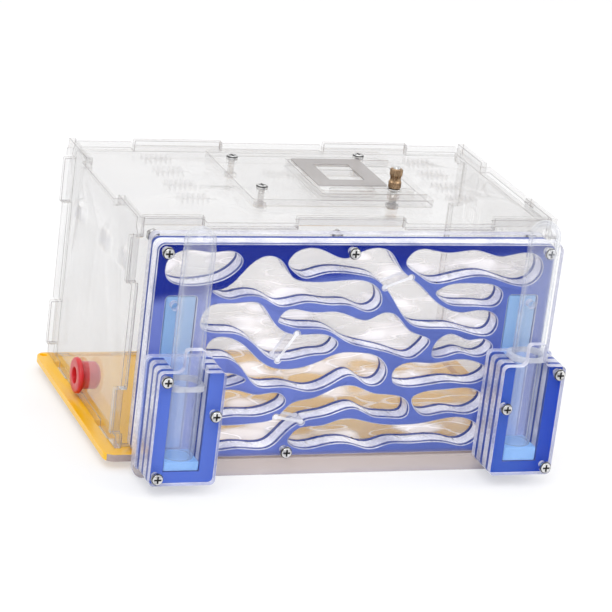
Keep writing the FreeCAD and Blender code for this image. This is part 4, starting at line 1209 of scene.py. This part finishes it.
@dataclass
class WaterTower:
    """One tower: its sheets, sponge, tube, collar and screws."""

    bench: Bench
    side: str
    blue_layers: tuple[str, ...] = ("inner_blue", "middle_blue", "face_blue")
    clear_layers: tuple[str, ...] = ("back", "inner_spacer", "outer_spacer", "cover")
    sponge_cell: float = 1.2 * MM
    sponge_pits: float = 0.2 * MM
    collar_bevel: float = 0.35 * MM

    def build(self) -> None:
        """Build the tower."""
        bench, side, body = self.bench, self.side, self.side + "_tube"
        for layer in self.clear_layers:
            looks = (WELL_FACE if layer == "back" else NEST_FACE, NEST_EDGE, NEST_LINE)
            bench.sheet("%s_tower_%s" % (side, layer), Axis.Y, looks, "habitat", "clear_acrylic")
        for layer in self.blue_layers:
            looks = (TOWER_BLUE[side], BLUE_EDGE, BLUE_EDGE)
            bench.sheet("%s_tower_%s" % (side, layer), Axis.Y, looks, "habitat", "blue_acrylic")
        bench.screws(side + "_tower_screws", FORWARD)
        sponge = side + "_well_sponge"
        bench.foam(sponge, SPONGE, "habitat", "pale_sponge", self.sponge_cell, self.sponge_pits)
        bench.solid(side + "_test_tube", GLASS, body, "tube_glass", 0.0)
        bench.solid(side + "_tube_collar", COLLAR, body, "clear_silicone", self.collar_bevel, 2)


# ------------------------------------------------------------------ studio
@dataclass(frozen=True)
class Lamp:
    """A soft square lamp that faces the object."""

    name: str
    place: tuple[float, float, float]
    size: float
    power: float

    def hang(self, target: Vector) -> None:
        """Hang the lamp.

        Args:
            target: The point that it faces.
        """
        data = bpy.data.lights.new(self.name, "AREA")
        data.size = self.size
        data.energy = self.power
        piece = bpy.data.objects.new(self.name, data)
        piece.location = self.place
        piece.rotation_euler = (target - Vector(self.place)).to_track_quat("-Z", "Y").to_euler()
        bpy.context.scene.collection.objects.link(piece)


@dataclass
class Studio:
    """The pale floor, the soft light and the camera."""

    camera_place: Vector = field(default_factory=lambda: Vector((-0.43421, -1.08271, 0.46074)))
    azimuth: float = math.radians(21.75)
    elevation: float = math.radians(19.21)
    roll: float = math.radians(7.19)
    focal_px: float = 2934.2
    image_px: int = 612
    floor_size: float = 30.0
    paper_reach: float = 0.9
    sky: float = 0.85
    horizon: float = 0.30
    lamps: tuple[Lamp, ...] = (
        Lamp("key_softbox", (-0.7, -1.2, 1.6), 1.4, 16.0),
        Lamp("fill_softbox", (1.4, -0.7, 1.2), 1.2, 8.0),
        Lamp("top_softbox", (0.1, 0.5, 1.8), 1.4, 6.0))
    lamp_target: Vector = field(default_factory=lambda: Vector((0.0, 0.0, 0.05)))

    def floor_look(self, graph: Graph) -> Link:
        """Build the floor's shader: lifted to white for the eye, plain for the light.

        Args:
            graph: The material's nodes.

        Returns:
            The shader.
        """
        seen = graph.backdrop_rays()
        paper = graph.out("ShaderNodeBsdfDiffuse", {}, {"Color": (0.50, 0.50, 0.50)})
        lit = graph.out("ShaderNodeAddShader", {}, {0: paper, 1: graph.shine(0.50)})
        away = graph.out("ShaderNodeVectorMath", {"operation": "LENGTH"}, {0: graph.place()}, "Value")
        lifted = graph.layer(away.above(self.paper_reach, self.paper_reach * 0.5), lit, graph.shine(1.0))
        plain = graph.out("ShaderNodeBsdfDiffuse", {}, {"Color": (0.80, 0.80, 0.80)})
        return graph.layer(seen, plain, lifted)

    def floor(self) -> None:
        """Lay the floor, white to the eye but for the soft shadow of the object."""
        mesh = bmesh.new()
        bmesh.ops.create_grid(mesh, x_segments=1, y_segments=1, size=self.floor_size / 2)
        data = bpy.data.meshes.new("floor")
        mesh.to_mesh(data)
        mesh.free()
        data.materials.append(new_material("white_floor", self.floor_look))
        piece = bpy.data.objects.new("floor", data)
        bpy.context.scene.collection.objects.link(piece)

    def world(self) -> None:
        """Make the world: white to the eye, soft light from above for the object."""
        world = bpy.data.worlds.new("studio")
        world.use_nodes = True
        graph = Graph(world.node_tree)
        ray = graph.out("ShaderNodeTexCoord", output="Generated")
        height = Link(graph, graph.node("ShaderNodeSeparateXYZ", {}, {"Vector": ray}).outputs[2])
        low, high, white = (graph.out("ShaderNodeBackground", {}, {"Color": colour, "Strength": strength})
                            for colour, strength in (((0.98, 0.98, 1.0), self.horizon),
                                                     ((0.98, 0.98, 1.0), self.sky), (WHITE, 1.0)))
        light = graph.layer(height.above(0.45, 0.5), low, high)
        surface = graph.layer(graph.backdrop_rays(), light, white)
        graph.node("ShaderNodeOutputWorld", {}, {"Surface": surface})
        bpy.context.scene.world = world

    def camera(self) -> None:
        """Set the camera up."""
        az, el, roll = self.azimuth, self.elevation, self.roll
        ahead = Vector((math.sin(az) * math.cos(el), math.cos(az) * math.cos(el), -math.sin(el)))
        level = Vector((math.cos(az), -math.sin(az), 0.0))
        rise = level.cross(ahead)
        right = level * math.cos(roll) + rise * math.sin(roll)
        up = rise * math.cos(roll) - level * math.sin(roll)
        data = bpy.data.cameras.new("camera")
        data.sensor_width = 36.0
        data.lens = self.focal_px / self.image_px * data.sensor_width
        data.clip_start, data.clip_end = 0.01, 100.0
        piece = bpy.data.objects.new("camera", data)
        turn = Matrix((right, up, -ahead)).transposed().to_4x4()
        piece.matrix_world = Matrix.Translation(self.camera_place) @ turn
        bpy.context.scene.collection.objects.link(piece)
        bpy.context.scene.camera = piece

    def build(self) -> None:
        """Build the studio."""
        self.floor()
        self.world()
        for lamp in self.lamps:
            lamp.hang(self.lamp_target)
        self.camera()
        scene = bpy.context.scene
        scene.view_settings.view_transform = "Standard"
        scene.cycles.max_bounces = 16
        scene.cycles.transmission_bounces = 16
        scene.cycles.transparent_max_bounces = 64


def main() -> None:
    """Build every sub-assembly in order, then the studio."""
    logging.basicConfig(level=logging.INFO, format="%(message)s")
    bench = Bench()
    for part in (ForagingBox(bench), Lid(bench), KnurledNut(bench), Nest(bench),
                 WaterTower(bench, "left"), WaterTower(bench, "right"), Studio()):
        log.info("building %s", type(part).__name__)
        part.build()


if __name__ == "__main__":
    main()
